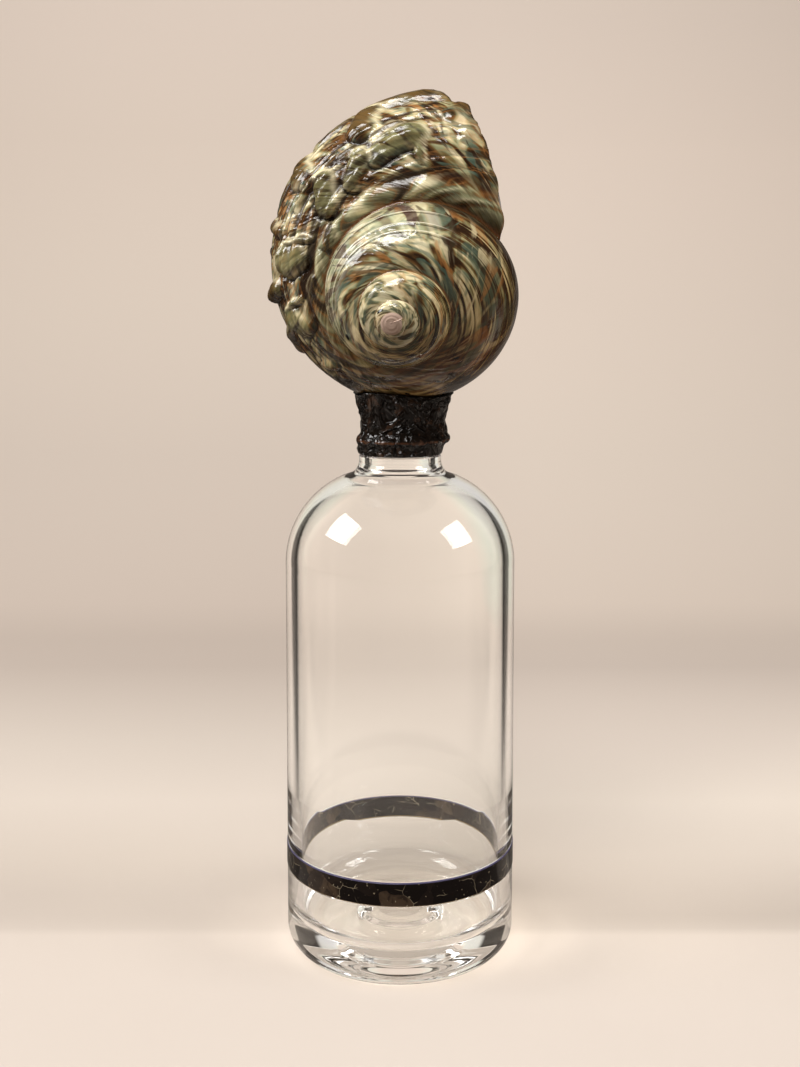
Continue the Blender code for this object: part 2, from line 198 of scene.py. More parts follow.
class Graph:
    """A thin helper that lays nodes into a shader or geometry tree."""

    def __init__(self, tree: bpy.types.NodeTree) -> None:
        """Keep the tree that nodes are added to."""
        self.tree = tree

    def link(self, value: Number | Colour | str, socket: bpy.types.NodeSocket) -> None:
        """Feed a socket with a value, or set its constant.

        Args:
            value: A value of this tree or a constant.
            socket: The input that takes it.
        """
        if isinstance(value, Value):
            self.tree.links.new(value.socket, socket)
        else:
            socket.default_value = value

    def add(self, kind: str, inputs: dict | None = None, output: str | int = 0,
            **settings: object) -> Value:
        """Add one node.

        Args:
            kind: The node's type name.
            inputs: Socket name or index to a value or a constant.
            output: Name or index of the output that is wanted.
            **settings: Properties set on the node itself.

        Returns:
            The chosen output.
        """
        node = self.tree.nodes.new(kind)
        for name, value in settings.items():
            setattr(node, name, value)
        for name, value in (inputs or {}).items():
            self.link(value, node.inputs[name])
        return Value(self, node.outputs[output])

    def math(self, operation: str, *values: Number, clamp: bool = False) -> Value:
        """A Math node's result for one to three values."""
        return self.add("ShaderNodeMath", dict(enumerate(values)), operation=operation,
                        use_clamp=clamp)

    def vector(self, x: Number, y: Number, z: Number = 0.0) -> Value:
        """Three values joined into a vector."""
        return self.add("ShaderNodeCombineXYZ", {0: x, 1: y, 2: z})

    def combine(self, operation: str, first: Value, second: Value | Place) -> Value:
        """A Vector Math node's result for two vectors."""
        return self.add("ShaderNodeVectorMath", {0: first, 1: second}, operation=operation)

    def noise(self, place: Value, scale: Number = 1.0, detail: float = 3.0, rough: float = 0.55,
              twist: Number = 0.0) -> Value:
        """The grey value of a Noise Texture."""
        return self.add("ShaderNodeTexNoise", {
            "Vector": place, "Scale": scale, "Detail": detail, "Roughness": rough,
            "Distortion": twist})

    def mix(self, share: Number, first: Value | Colour, second: Value | Colour,
            blend: str = "MIX") -> Value:
        """Two colours mixed by a share."""
        return self.add("ShaderNodeMix", {0: share, 6: first, 7: second}, 2, data_type="RGBA",
                        blend_type=blend)

    def ray(self, kind: str) -> Value:
        """1 where a ray of this kind looks at the surface."""
        return self.add("ShaderNodeLightPath", output=f"Is {kind} Ray")

    def stored(self, name: str) -> Value:
        """A number stored on a mesh's points, read in a geometry tree."""
        return self.add("GeometryNodeInputNamedAttribute", {"Name": name}, "Attribute",
                        data_type="FLOAT")

    def ramp(self, value: Value, stops: Sequence[tuple[float, Colour]]) -> Value:
        """A colour ramp over a value.

        Args:
            value: The value that is read.
            stops: Position and colour of each stop, in order.

        Returns:
            The colour.
        """
        result = self.add("ShaderNodeValToRGB", {0: value})
        points = result.socket.node.color_ramp.elements
        while len(points) < len(stops):
            points.new(1.0)
        for point, (position, colour) in zip(points, stops):
            point.position = position
            point.color = colour
        return result


Fill = Callable[[Graph, dict[str, Value]], Sequence[Value]]


def open_tree(name: str, kind: str, inputs: dict[str, object],
              outputs: dict[str, str]) -> tuple[Graph, dict[str, Value], bpy.types.Node]:
    """Start a node group with named sockets.

    Args:
        name: The group's name.
        kind: The tree's type name.
        inputs: Input name to its default number or colour, or to its type alone.
        outputs: Output name to its type.

    Returns:
        The graph, its inputs as values, and the output node.
    """
    tree = bpy.data.node_groups.new(name, kind)
    for label, start in inputs.items():
        plain = {float: "Float", tuple: "Color"}.get(type(start), start)
        socket = tree.interface.new_socket(label, in_out="INPUT", socket_type=f"NodeSocket{plain}")
        if plain is not start:
            socket.default_value = start
    for label, plain in outputs.items():
        tree.interface.new_socket(label, in_out="OUTPUT", socket_type=f"NodeSocket{plain}")
    graph = Graph(tree)
    sockets = tree.nodes.new("NodeGroupInput").outputs
    given = {socket.name: Value(graph, socket) for socket in sockets}
    return graph, given, tree.nodes.new("NodeGroupOutput")


def shader_group(name: str, inputs: dict[str, object], outputs: dict[str, str],
                 fill: Fill) -> bpy.types.NodeTree:
    """Build one shader node group.

    Args:
        name: The group's name.
        inputs: Input name to its default or type.
        outputs: Output name to its type.
        fill: Lays the nodes and gives the outputs in order.

    Returns:
        The finished group.
    """
    graph, given, end = open_tree(name, "ShaderNodeTree", inputs, outputs)
    for label, value in zip(outputs, fill(graph, given)):
        graph.link(value, end.inputs[label])
    return graph.tree


class Effects:
    """Shader node groups that the finishes draw on, each built once."""

    def __init__(self) -> None:
        """Build the groups."""
        self.streaks = shader_group(
            "Grown streaks", {"Growth": "Vector", "Along": 30.0, "Across": 2.0, "Wander": 1.0},
            {"Value": "Float"}, self._streaks)
        self.speckle = shader_group(
            "Fine speckle", {"Place": "Vector", "Scale": 400.0, "Dark": (0.5, 0.5, 0.5, 1.0),
                             "Light": (1.0, 1.0, 1.0, 1.0)},
            {"Colour": "Color", "Value": "Float"}, self._speckle)
        self.ripple = shader_group(
            "Cast ripple", {"Place": "Vector", "Scale": 120.0}, {"Height": "Float"}, self._ripple)

    @staticmethod
    def _streaks(graph: Graph, given: dict[str, Value]) -> Sequence[Value]:
        """Noise drawn out along one direction."""
        along, across, depth = given["Growth"].parts()
        return [graph.noise(graph.vector(along * given["Along"], across * given["Across"], depth),
                            1.0, 1.8, 0.45, given["Wander"])]

    @staticmethod
    def _speckle(graph: Graph, given: dict[str, Value]) -> Sequence[Value]:
        """Small pits and grains."""
        value = graph.noise(given["Place"], given["Scale"], 3.0, 0.5)
        return [graph.mix(value.span(0.4, 0.62), given["Dark"], given["Light"]), value]

    @staticmethod
    def _ripple(graph: Graph, given: dict[str, Value]) -> Sequence[Value]:
        """The pulled, wrinkled skin of a poured casting."""
        broad = graph.noise(given["Place"], given["Scale"], 1.6, 0.5, 1.4)
        return [broad.band(0.5, 0.09) * 0.35 + broad]


class Coat(Graph):
    """A material's node tree, with the Principled shader that it feeds."""

    def __init__(self, name: str) -> None:
        """Start the material.

        Args:
            name: The material's name.
        """
        self.material = bpy.data.materials.new(name)
        self.material.use_nodes = True
        super().__init__(self.material.node_tree)
        self.shader = self.tree.nodes["Principled BSDF"]

    @property
    def place(self) -> Value:
        """The place on the piece, in metres."""
        return self.add("ShaderNodeTexCoord", output="Object")

    def kept(self, name: str) -> Value:
        """A number stored on the piece's points."""
        return self.add("ShaderNodeAttribute", output="Fac", attribute_name=name)

    def growth(self) -> list[Value]:
        """The turn and the across of the place on the shell, and a 0."""
        return self.add("ShaderNodeUVMap", uv_map="growth").parts()

    def feed(self, **inputs: Number | Colour) -> None:
        """Give the shader its inputs, by name with _ for a space."""
        for name, value in inputs.items():
            self.link(value, self.shader.inputs[name.replace("_", " ")])

    def bump(self, height: Value, distance: float, strength: float = 1.0) -> None:
        """Raise the surface by a height, a distance in metres at 1."""
        self.feed(Normal=self.add("ShaderNodeBump", {
            "Strength": strength, "Distance": distance, "Height": height}))


# ---------------------------------------------------------------- the finishes


@dataclass(frozen=True)
class Finish:
    """A surface finish that makes one material."""

    name: str
    effects: Effects
    ior: float = 1.5

    def make(self) -> bpy.types.Material:
        """Build the material.

        Returns:
            The material.
        """
        coat = Coat(self.name)
        coat.feed(IOR=self.ior)
        self.paint(coat)
        return coat.material

    def paint(self, coat: Coat) -> None:
        """Lay the finish's own nodes into its material."""


@dataclass(frozen=True)
class ClearGlass(Finish):
    """Clear blown glass, which the lamps' light passes as a soft shade."""

    tint: Colour = (0.985, 0.99, 0.985, 1.0)
    shade: Colour = (0.91, 0.90, 0.88, 1.0)

    def paint(self, coat: Coat) -> None:
        """Lay clear glass over a clear shade.

        Args:
            coat: The material.
        """
        coat.feed(Base_Color=self.tint, Roughness=0.0, Transmission_Weight=1.0)
        clear = coat.add("ShaderNodeBsdfTransparent", {"Color": self.shade})
        glass = Value(coat, coat.shader.outputs[0])
        both = coat.add("ShaderNodeMixShader", {0: coat.ray("Shadow"), 1: glass, 2: clear})
        coat.link(both, coat.tree.nodes["Material Output"].inputs["Surface"])


@dataclass(frozen=True)
class PenShell(Finish):
    """Near-black shell chips with brown clouds and pale cracks."""

    dark: Colour = srgb(20, 14, 12)
    smoke: Colour = srgb(32, 24, 20)
    brown: Colour = srgb(48, 37, 29)
    amber: Colour = srgb(72, 58, 45)
    vein: Colour = srgb(206, 190, 160)
    violet: Colour = srgb(72, 68, 92)
    gold: Colour = srgb(150, 126, 84)

    def paint(self, coat: Coat) -> None:
        """Lay bent chips, clouds, cracks and flecks, and the two lit edges.

        Args:
            coat: The material.
        """
        place = coat.place
        bend = coat.noise(place, 160.0, 2.0, 0.5).also("Color")
        bent = coat.combine("ADD", place, coat.combine("MULTIPLY", bend, (0.004, 0.004, 0.004)))
        chips = {"Vector": bent, "Scale": 130.0}
        tone = coat.add("ShaderNodeTexVoronoi", chips, "Color").parts()[0]
        tone = (coat.noise(place, 240.0, 3.0, 0.6, 0.6) - 0.5) * 0.5 + tone
        colour = coat.ramp(tone, [
            (0.45, self.dark), (0.72, self.smoke), (0.92, self.brown), (1.0, self.amber)])
        gaps = coat.add("ShaderNodeTexVoronoi", chips, "Distance", feature="DISTANCE_TO_EDGE")
        crack = gaps.span(0.015, 0.004) * coat.noise(place, 120.0, 1.0).span(0.50, 0.60)
        fleck = coat.noise(place, 900.0, 1.0).span(0.71, 0.76)
        colour = colour.painted(crack.larger(fleck) * 0.45, self.vein)
        level = place.parts()[2]
        foot, top = heights("inlay_band")
        colour = colour.painted(level.span((top - 0.4) * MM, (top - 0.1) * MM), self.violet)
        colour = colour.painted(level.span((foot + 0.45) * MM, (foot + 0.1) * MM), self.gold)
        coat.feed(Base_Color=colour, Roughness=tone.span(0.3, 1.0, 0.10, 0.24),
                  Specular_IOR_Level=0.18)
        coat.bump(gaps, 0.2 * MM, 0.3)


@dataclass(frozen=True)
class CastSkin(Finish):
    """Dark brown cast resin with a glossy, pulled skin."""

    deep: Colour = srgb(15, 10, 8)
    middle: Colour = srgb(24, 17, 13)
    warm: Colour = srgb(88, 62, 46)
    edge: Colour = srgb(112, 70, 44)

    def paint(self, coat: Coat) -> None:
        """Lay the clouded brown, the rubbed bead and the pulled skin.

        Args:
            coat: The material.
        """
        place = coat.place
        cloud = coat.noise(place, 210.0, 4.0, 0.6, 0.5)
        colour = coat.ramp(cloud, [(0.35, self.deep), (0.55, self.middle), (0.75, self.warm)])
        patch = coat.noise(place, 260.0, 2.0).span(0.35, 0.6)
        colour = colour.painted(coat.kept("rub") * patch * 0.8, self.edge)
        coat.feed(Base_Color=colour, Roughness=cloud.span(0.3, 0.75, 0.03, 0.10),
                  Specular_IOR_Level=0.4)
        coat.bump(coat.add("ShaderNodeGroup", {"Place": place, "Scale": 105.0}, "Height",
                           node_tree=self.effects.ripple), 2.8 * MM)


@dataclass(frozen=True)
class Cork(Finish):
    """Natural cork with darker pits."""

    body: Colour = srgb(186, 146, 100)
    pit: Colour = srgb(104, 70, 44)

    def paint(self, coat: Coat) -> None:
        """Lay the grain and its pits.

        Args:
            coat: The material.
        """
        grain = coat.add("ShaderNodeGroup", {
            "Place": coat.place, "Scale": 700.0, "Dark": self.pit, "Light": self.body},
            "Colour", node_tree=self.effects.speckle)
        coat.feed(Base_Color=grain, Roughness=0.85)
        coat.bump(grain.also("Value"), 0.4 * MM, 0.7)


@dataclass(frozen=True)
class Nacre(Finish):
    """The pearly lining of the shell's mouth."""

    def paint(self, coat: Coat) -> None:
        """Lay drifting pearl tints and a sheen that turns green and pink at the edges.

        Args:
            coat: The material.
        """
        drift = coat.noise(coat.place, 26.0, 3.0, 0.5, 1.2)
        colour = coat.ramp(drift, [
            (0.30, srgb(196, 214, 206)), (0.42, srgb(232, 230, 222)), (0.52, srgb(236, 214, 208)),
            (0.62, srgb(206, 222, 214)), (0.75, srgb(240, 236, 226))])
        face = coat.add("ShaderNodeLayerWeight", {"Blend": 0.35}, "Facing")
        sheen = coat.ramp(face, [
            (0.0, srgb(255, 255, 255)), (0.5, srgb(226, 244, 236)), (0.8, srgb(250, 222, 228))])
        coat.feed(Base_Color=colour.painted(0.7, sheen, "MULTIPLY"),
                  Roughness=drift.span(0.3, 0.7, 0.16, 0.3), Metallic=0.25, Coat_Weight=0.5)
        coat.bump(coat.noise(coat.place, 180.0, 2.0), 0.3 * MM, 0.3)


def growth_slant(across: Value) -> Value:
    """How far the growth lines lean back from the suture, in turns."""
    return (1.0 - (across * -6.0).exp()) * -0.06


@dataclass(frozen=True)
class LacqueredShell(Finish):
    """Mottled turban shell under a clear gloss lacquer."""

    cream: Colour = srgb(230, 218, 180)
    sand: Colour = srgb(188, 174, 132)
    grey_green: Colour = srgb(150, 152, 118)
    olive: Colour = srgb(118, 104, 66)
    teal: Colour = srgb(84, 106, 92)
    brown: Colour = srgb(92, 66, 38)
    umber: Colour = srgb(44, 28, 16)
    rust: Colour = srgb(178, 122, 68)
    tip: Colour = srgb(192, 166, 150)
    pinholes: tuple[Mark, ...] = (
        (0.60, 0.38), (0.673, 0.30), (0.755, 0.20), (0.445, 0.40), (3.2, 0.5), (1.42, 0.36))

    def paint(self, coat: Coat) -> None:
        """Lay the mottling, the marks of each whorl, painted light and shade, and the lacquer.

        Args:
            coat: The material.
        """
        turn, across, _ = coat.growth()
        size = (turn * SHRINK_RATE).exp()
        arc_length = (1.0 - size) * 1.25
        blotchy = turn.span(0.92, 1.1) * across.span(0.3, 0.55, 0.5, 1.3) + 1.0
        grown = coat.vector(arc_length + growth_slant(across) * size, across * size * blotchy)
        coiled = coat.vector(arc_length * 0.22, across * 4.0)

        def streaks(along: float, over: float, wander: float, place: Value = grown) -> Value:
            """One use of the streak group."""
            return coat.add("ShaderNodeGroup", {
                "Growth": place, "Along": along, "Across": over, "Wander": wander},
                node_tree=self.effects.streaks)

        ringed = turn.span(0.40, 0.66) * turn.span(1.02, 0.90) * 0.8
        ringed = turn.span(1.36, 1.6) * turn.span(2.02, 1.86) * 0.55 + ringed
        broad = streaks(42.0, 6.0, 0.8).toward(ringed, streaks(34.0, 3.4, 1.6, coiled))
        # low is 1 at the bottom of each whorl. The mottling gets more contrast there, and painted
        # shade darkens it later.
        low = coat.math("COSINE", (turn - 0.19) * FULL_TURN) * -0.5 + 0.5
        low = low ** 1.3 * turn.span(2.7, 2.1)
        body = turn.span(1.0, 0.92) * turn.span(0.08, 0.24, -0.01, -0.035)
        broad = (broad - 0.5) * (low * 1.1 + 1.15) + body
        colour = coat.ramp(broad + 0.5, [
            (0.35, self.umber), (0.43, self.brown), (0.475, self.olive),
            (0.52, self.grey_green), (0.58, self.sand), (0.68, self.cream)])
        colour = colour.painted(streaks(24.0, 9.0, 1.3).span(0.53, 0.62) * 0.7, self.teal)
        pale = streaks(66.0, 5.5, 0.9).span(0.57, 0.68) * turn.span(0.98, 1.1, 0.65, 0.36)
        colour = colour.painted(pale, self.cream)
        colour = colour.painted(streaks(48.0, 4.0, 1.2).span(0.58, 0.67) * 0.55, self.rust)
        lines = streaks(74.0, 5.0, 0.8).span(0.555, 0.63)
        lines = lines.toward(ringed, streaks(50.0, 5.0, 1.6, coiled).span(0.54, 0.62))
        colour = colour.painted(lines * turn.span(0.98, 1.15, 0.8, 0.6), self.umber)
        hair = streaks(120.0, 5.0, 0.8).span(0.48, 0.66)
        colour = self._relief(coat, hair, colour)
        colour = self._ages(coat, low, self._spire(coat, colour))
        drops = coat.noise(coat.place, 210.0, 1.0, 0.5, 0.4)
        dull = coat.kept("crest").span(0.1, -0.3).larger(coat.kept("pit").span(0.05, 0.4))
        coat.feed(Base_Color=self._smeared(coat, colour),
                  Roughness=dull * 0.16 + drops.span(0.38, 0.60, 0.17, 0.05),
                  Coat_Weight=0.2, Coat_Roughness=0.03)
        coat.bump(drops * 0.4 + streaks(70.0, 5.0, 1.0), 0.9 * MM, 0.7)

    @staticmethod
    def _smeared(coat: Coat, colour: Value) -> Value:
        """Dark casting drawn a little way up both sides of the shell, with a ragged edge.

        Args:
            coat: The material.
            colour: The colour so far.

        Returns:
            The smeared colour.
        """
        x, _, z = coat.place.parts()
        cup = heights("stopper_collar")[1]
        ragged = coat.noise(coat.place, 150.0, 3.0, 0.6) * (14.0 * MM) + z
        low = ragged.span((cup + 11.0) * MM, (cup + 8.5) * MM)
        sides = abs(x).span(13.5 * MM, 18.5 * MM)
        return colour.painted(low * sides * 0.88, srgb(24, 16, 12))

    def _spire(self, coat: Coat, colour: Value) -> Value:
        """Dark bars, pale blocks, and cords with painted highlight and shade, on the last whorl
        but one.

        Args:
            coat: The material.
            colour: The colour so far.

        Returns:
            The colour with the bars, blocks and cords.
        """
        turn, across, _ = coat.growth()
        where = turn.span(0.96, 1.02) * turn.span(1.3, 1.5, 1.0, 0.0) * across.span(0.30, 0.50)
        lane = coat.math("ROUND", across * 6.0)
        value = coat.noise(coat.vector(turn * 30.0, lane * 3.7), detail=2.0)
        blocks = coat.ramp(value, [
            (0.38, srgb(96, 76, 60)), (0.44, self.grey_green), (0.50, srgb(176, 184, 154)),
            (0.56, self.cream), (0.64, srgb(238, 232, 206))])
        colour = colour.painted(where * 0.5, blocks)
        bars = coat.noise(coat.vector(turn * 34.0, across * 2.2), 1.0, 1.0, 0.5, 0.6)
        colour = colour.painted(bars.span(0.56, 0.62) * where * 0.8, srgb(74, 54, 50))
        # Painted highlight: a white line along each cord's crown. Painted shade: a dark line
        # beneath it.
        for middle, _ in SPIRAL_CORDS:
            crown = across.band(middle + 0.004, 0.012) * where
            line = across.band(middle - 0.022, 0.012) * where
            colour = colour.painted(crown * 0.7, srgb(240, 232, 210))
            colour = colour.painted(line * 0.8, self.umber)
        return colour

    def _relief(self, coat: Coat, hair: Value, colour: Value) -> Value:
        """Green lumps, a sage sutural band, and painted highlight and shade on the relief.

        Args:
            coat: The material.
            hair: Mask of the fine dark lines on the lumps.
            colour: The colour so far.

        Returns:
            The colour with the body whorl's relief picked out in painted highlight and shade.
        """
        turn, across, _ = coat.growth()
        crest, lump = coat.kept("crest"), coat.kept("lump")
        body = turn.span(0.95, 0.6)
        outer = across.span(0.52, 0.62)
        sage = coat.ramp(crest, [
            (0.0, srgb(84, 64, 36)), (0.2, srgb(134, 136, 104)), (0.45, srgb(182, 182, 146)),
            (0.75, srgb(230, 220, 184))])
        knob = coat.mix(outer, srgb(122, 118, 80), srgb(92, 72, 40))
        knob = knob.painted(turn.span(0.38, 0.5) * 0.6, srgb(100, 78, 54))
        knob = knob.painted(hair, srgb(52, 42, 24))
        edge = (turn - 0.62).larger(0.0) * -0.6 + across
        under = turn.span(0.24, 0.39) * turn.span(0.88, 0.7) * edge.span(0.50, 0.68)
        far = across.span(0.78, 0.92) * turn.span(0.14, 0.22) * turn.span(1.0, 0.97)
        # Painted highlight: cream on the crests and along each lump's rim. Painted shade: umber in
        # the hollows, near-black in the crease beside each lump, and dark brown on the underside
        # (under) and the far side (far). The sage band is likewise darker in its hollows and
        # lighter on its folds.
        for mask, paint in (
                (across.span(0.17, 0.12) * body * 0.7, sage),
                (across.band(0.185, 0.05) * body * 0.5, srgb(108, 68, 38)),
                (crest.span(0.25, 0.65) * 0.6, self.cream),
                (crest.band(0.0, 0.10) * body * 0.3, self.rust),
                (crest.span(0.02, -0.3) * body * 0.88, self.umber),
                (lump.span(0.6 * MM, 2.0 * MM) * outer.span(0.0, 1.0, 0.75, 0.92), knob),
                (coat.kept("rim") * 0.75, self.cream),
                (coat.kept("pit") * 0.95, srgb(30, 20, 12)),
                (under * across.span(1.05, 1.35, 1.0, 0.4) * 0.68, srgb(38, 28, 19)),
                (far * across.span(1.02, 1.2, 1.0, 0.35) * 0.85, srgb(46, 34, 24))):
            colour = colour.painted(mask, paint)
        return colour

    def _ages(self, coat: Coat, low: Value, colour: Value) -> Value:
        """Spotted early whorls, a rusty seam, painted underside shade, pinholes and the worn tip.

        Args:
            coat: The material.
            low: Painted shade, 0 on the upper half of each whorl and 1 at the bottom of the coil.
            colour: The colour so far.

        Returns:
            The colour with the marks of age and the painted underside shade.
        """
        turn, across, _ = coat.growth()
        spots = coat.noise(coat.vector(turn * 17.0, across * 2.6), 1.0, 1.5, 0.5, 0.5)
        spots = coat.ramp(spots, [
            (0.40, srgb(58, 60, 40)), (0.46, srgb(96, 104, 80)), (0.51, self.sand),
            (0.58, self.cream)])
        colour = colour.painted(turn.span(1.96, 2.06) * 0.6, spots)
        hidden = across.span(0.975, 0.995) * turn.span(0.97, 0.99)
        seam = across.span(0.035, 0.0).larger(hidden) * turn.span(3.2, 3.0)
        colour = colour.painted(seam * 0.75, srgb(122, 74, 38))
        # Painted shade: the underside of each whorl is darkened toward a warm brown.
        shaded = colour.painted(1.0, (0.62, 0.45, 0.22, 1.0), "MULTIPLY")
        colour = colour.painted(low * 0.8, shaded)
        for where, level in self.pinholes:
            scale = math.exp(SHRINK_RATE * where)
            along, over = (turn - where) * (240.0 * scale), (across - level) * (50.0 * scale)
            away = coat.math("SQRT", along * along + over * over)
            colour = colour.painted(away.span(0.75, 0.45), srgb(10, 7, 5))
        return colour.painted(turn.span(3.90, 3.985), self.tip)


@dataclass(frozen=True)
class StudioPaper(Finish):
    """The pale sweep under and behind the object."""

    # The paper that bounced light sees is darker than the paper shown. This is painted shade under
    # the pieces.
    bounce: Colour = srgb(122, 110, 98)
    dark: Colour = srgb(58, 54, 50)
    plain: Colour = srgb(202, 191, 180)
    lit_half: float = 0.05
    # The two tone tables hold a painted shadow band on either side of the foot, darkest near 0.010
    # and 0.024. The right-hand table is lighter, which paints out the shadow that the bottle and
    # shell cast there.
    levels: tuple[float, ...] = (-0.036, -0.008, 0.010, 0.024, 0.050, 0.092, 0.152, 0.255,
                                 0.363, 0.558, 0.722, 0.849, 0.939)
    left: tuple[tuple[int, int, int], ...] = (
        (197, 186, 176), (190, 179, 169), (184, 173, 163), (185, 174, 164), (194, 183, 172),
        (205, 194, 183), (203, 192, 181), (196, 183, 172), (209, 195, 183), (213, 200, 188),
        (224, 211, 198), (231, 217, 204), (229, 215, 203))
    right: tuple[tuple[int, int, int], ...] = (
        (202, 191, 181), (192, 181, 171), (182, 171, 161), (190, 179, 169), (207, 196, 185),
        (222, 211, 199), (215, 203, 192), (204, 191, 180), (222, 208, 195), (226, 213, 200),
        (233, 219, 206), (240, 225, 212), (231, 217, 205))

    def paint(self, coat: Coat) -> None:
        """Lay the graded paper and what the glass shows and mirrors, with painted light and shade.

        Args:
            coat: The material.
        """
        x, y, z = coat.place.parts()
        aside, reach = abs(x), (y + z) * 0.66
        left, right = (
            coat.ramp(reach, [(level, srgb(*tone)) for level, tone in zip(self.levels, tones)])
            for tones in (self.left, self.right))
        paper = left.painted(x.span(-0.10, 0.14), right)
        paper = paper.painted(aside.span(0.17, 0.34) * reach.span(0.14, 0.06), self.plain)
        glossy, through = coat.ray("Glossy"), coat.ray("Transmission")
        mirrored = coat.math("ADD", glossy, through, clamp=True)
        shiny = coat.math("SUBTRACT", glossy, through, clamp=True)
        # Painted light and shade: seen through the glass, the paper is darker near the bottle and
        # brighter toward the back and the sides.
        gain = aside.span(0.05, 0.22, 0.0, 0.33) * y.span(0.1, 0.3)
        gain = (gain + y.span(0.03, 0.20, -0.16, 0.22)) * through + 1.0
        bright = coat.combine("MULTIPLY", paper, coat.vector(gain, gain, gain))
        bright = coat.combine("MINIMUM", bright, (1.0, 1.0, 1.0))
        # Painted reflection: two slanting strips of mirrored paper are kept light, making the
        # bright strips that the glass shows.
        slope = y / x
        streak_left = slope.span(-0.22, -0.16) * slope.span(0.52, 0.46)
        streak_right = slope.span(0.07, 0.12) * slope.span(0.62, 0.55)
        streak = streak_left.toward(coat.math("GREATER_THAN", x, 0.0), streak_right) * shiny
        # Painted shade: toward the back and beyond the lit middle, the paper that the glass shows
        # and mirrors goes dark, and the mirrored paper is dimmed, less so in the strips.
        edge = abs(y) * -0.5 + aside
        beyond = edge.span(self.lit_half, self.lit_half + 0.09) * y.span(0.0, 0.10)
        around = bright.painted(beyond * (1.0 - streak), self.dark)
        around = around.painted(shiny * (streak * -0.6 + 0.8), self.dark)
        paper = paper.painted(mirrored, around)
        # Painted shade: bounced light sees the darker bounce paper, which deepens the shade under
        # the pieces.
        seen = coat.math("ADD", coat.ray("Camera"), mirrored, clamp=True)
        coat.feed(Base_Color=coat.mix(seen, self.bounce, paper), Roughness=0.9,
                  Specular_IOR_Level=0.2)


# ---------------------------------------------------------------- mesh helpers


def arc(centre: Mark, radius: float, start: float, end: float, count: int) -> Profile:
    """Points on a circular arc in the profile plane.

    Args:
        centre: Radius and height of the arc's centre.
        radius: The arc's own radius.
        start: First angle in degrees.
        end: Last angle in degrees.
        count: Number of steps.

    Returns:
        The points, both ends included.
    """
    angles = np.radians(np.linspace(start, end, count + 1))
    return [(centre[0] + radius * math.cos(a), centre[1] + radius * math.sin(a)) for a in angles]


def circle(steps: int) -> list[float]:
    """The angles of even steps round the axis."""
    return [FULL_TURN * k / steps for k in range(steps)]


def mesh_object(name: str, verts: Sequence, faces: Sequence,
                material: bpy.types.Material) -> bpy.types.Object:
    """Make a smooth mesh object and link it to the scene.

    Args:
        name: The object's name.
        verts: The points, in metres.
        faces: The indices of each face's corners.
        material: The object's material.

    Returns:
        The new object.
    """
    mesh = bpy.data.meshes.new(name)
    mesh.from_pydata([tuple(map(float, point)) for point in verts], [], faces)
    mesh.materials.append(material)
    mesh.polygons.foreach_set("use_smooth", [True] * len(mesh.polygons))
    obj = bpy.data.objects.new(name, mesh)
    bpy.context.scene.collection.objects.link(obj)
    return obj


def outward(obj: bpy.types.Object) -> None:
    """Point every face of a closed mesh outward.

    Args:
        obj: The object that is changed.
    """
    bm = bmesh.new()
    bm.from_mesh(obj.data)
    bmesh.ops.recalc_face_normals(bm, faces=bm.faces[:])
    bm.to_mesh(obj.data)
    bm.free()


def braced(profile: Profile, grip: float = 0.3) -> Profile:
    """Add a point near both ends of each long run, so that shading stays true there.

    Args:
        profile: Radius and height of each point, in millimetres.
        grip: How far from the ends the added points are.

    Returns:
        The longer profile.
    """
    points = [profile[0]]
    for (r0, z0), (r1, z1) in zip(profile[:-1], profile[1:]):
        length = math.hypot(r1 - r0, z1 - z0)
        if length > 5.0 * grip:
            for share in (grip / length, 1.0 - grip / length):
                points.append((r0 + (r1 - r0) * share, z0 + (z1 - z0) * share))
        points.append((r1, z1))
    return points


def turned(name: str, profile: Profile, material: bpy.types.Material, steps: int = ROUND_STEPS,
           closed: bool = False) -> bpy.types.Object:
    """A solid of revolution about the bottle's axis.

    Args:
        name: The piece's name.
        profile: Radius and height in millimetres, its ends on the axis unless closed.
        material: The piece's material.
        steps: Steps round the axis.
        closed: Whether the profile is a loop clear of the axis.

    Returns:
        The new object.
    """
    verts, rings = [], []
    for radius, height in braced(profile):
        angles = circle(steps) if radius > 0.0 else [0.0]
        rings.append([len(verts) + k for k in range(len(angles))] * (steps // len(angles)))
        verts += [(radius * math.cos(a), radius * math.sin(a), height) for a in angles]
    faces = []
    for low, high in zip(rings, rings[1:] + rings[:1] * closed):
        for k in range(steps):
            after = (k + 1) % steps
            corners = list(dict.fromkeys((low[k], low[after], high[after], high[k])))
            faces += [corners] * (len(corners) > 2)
    obj = mesh_object(name, np.array(verts) * MM, faces, material)
    outward(obj)
    obj.data.set_sharp_from_angle(angle=SHARP_ANGLE)
    return obj


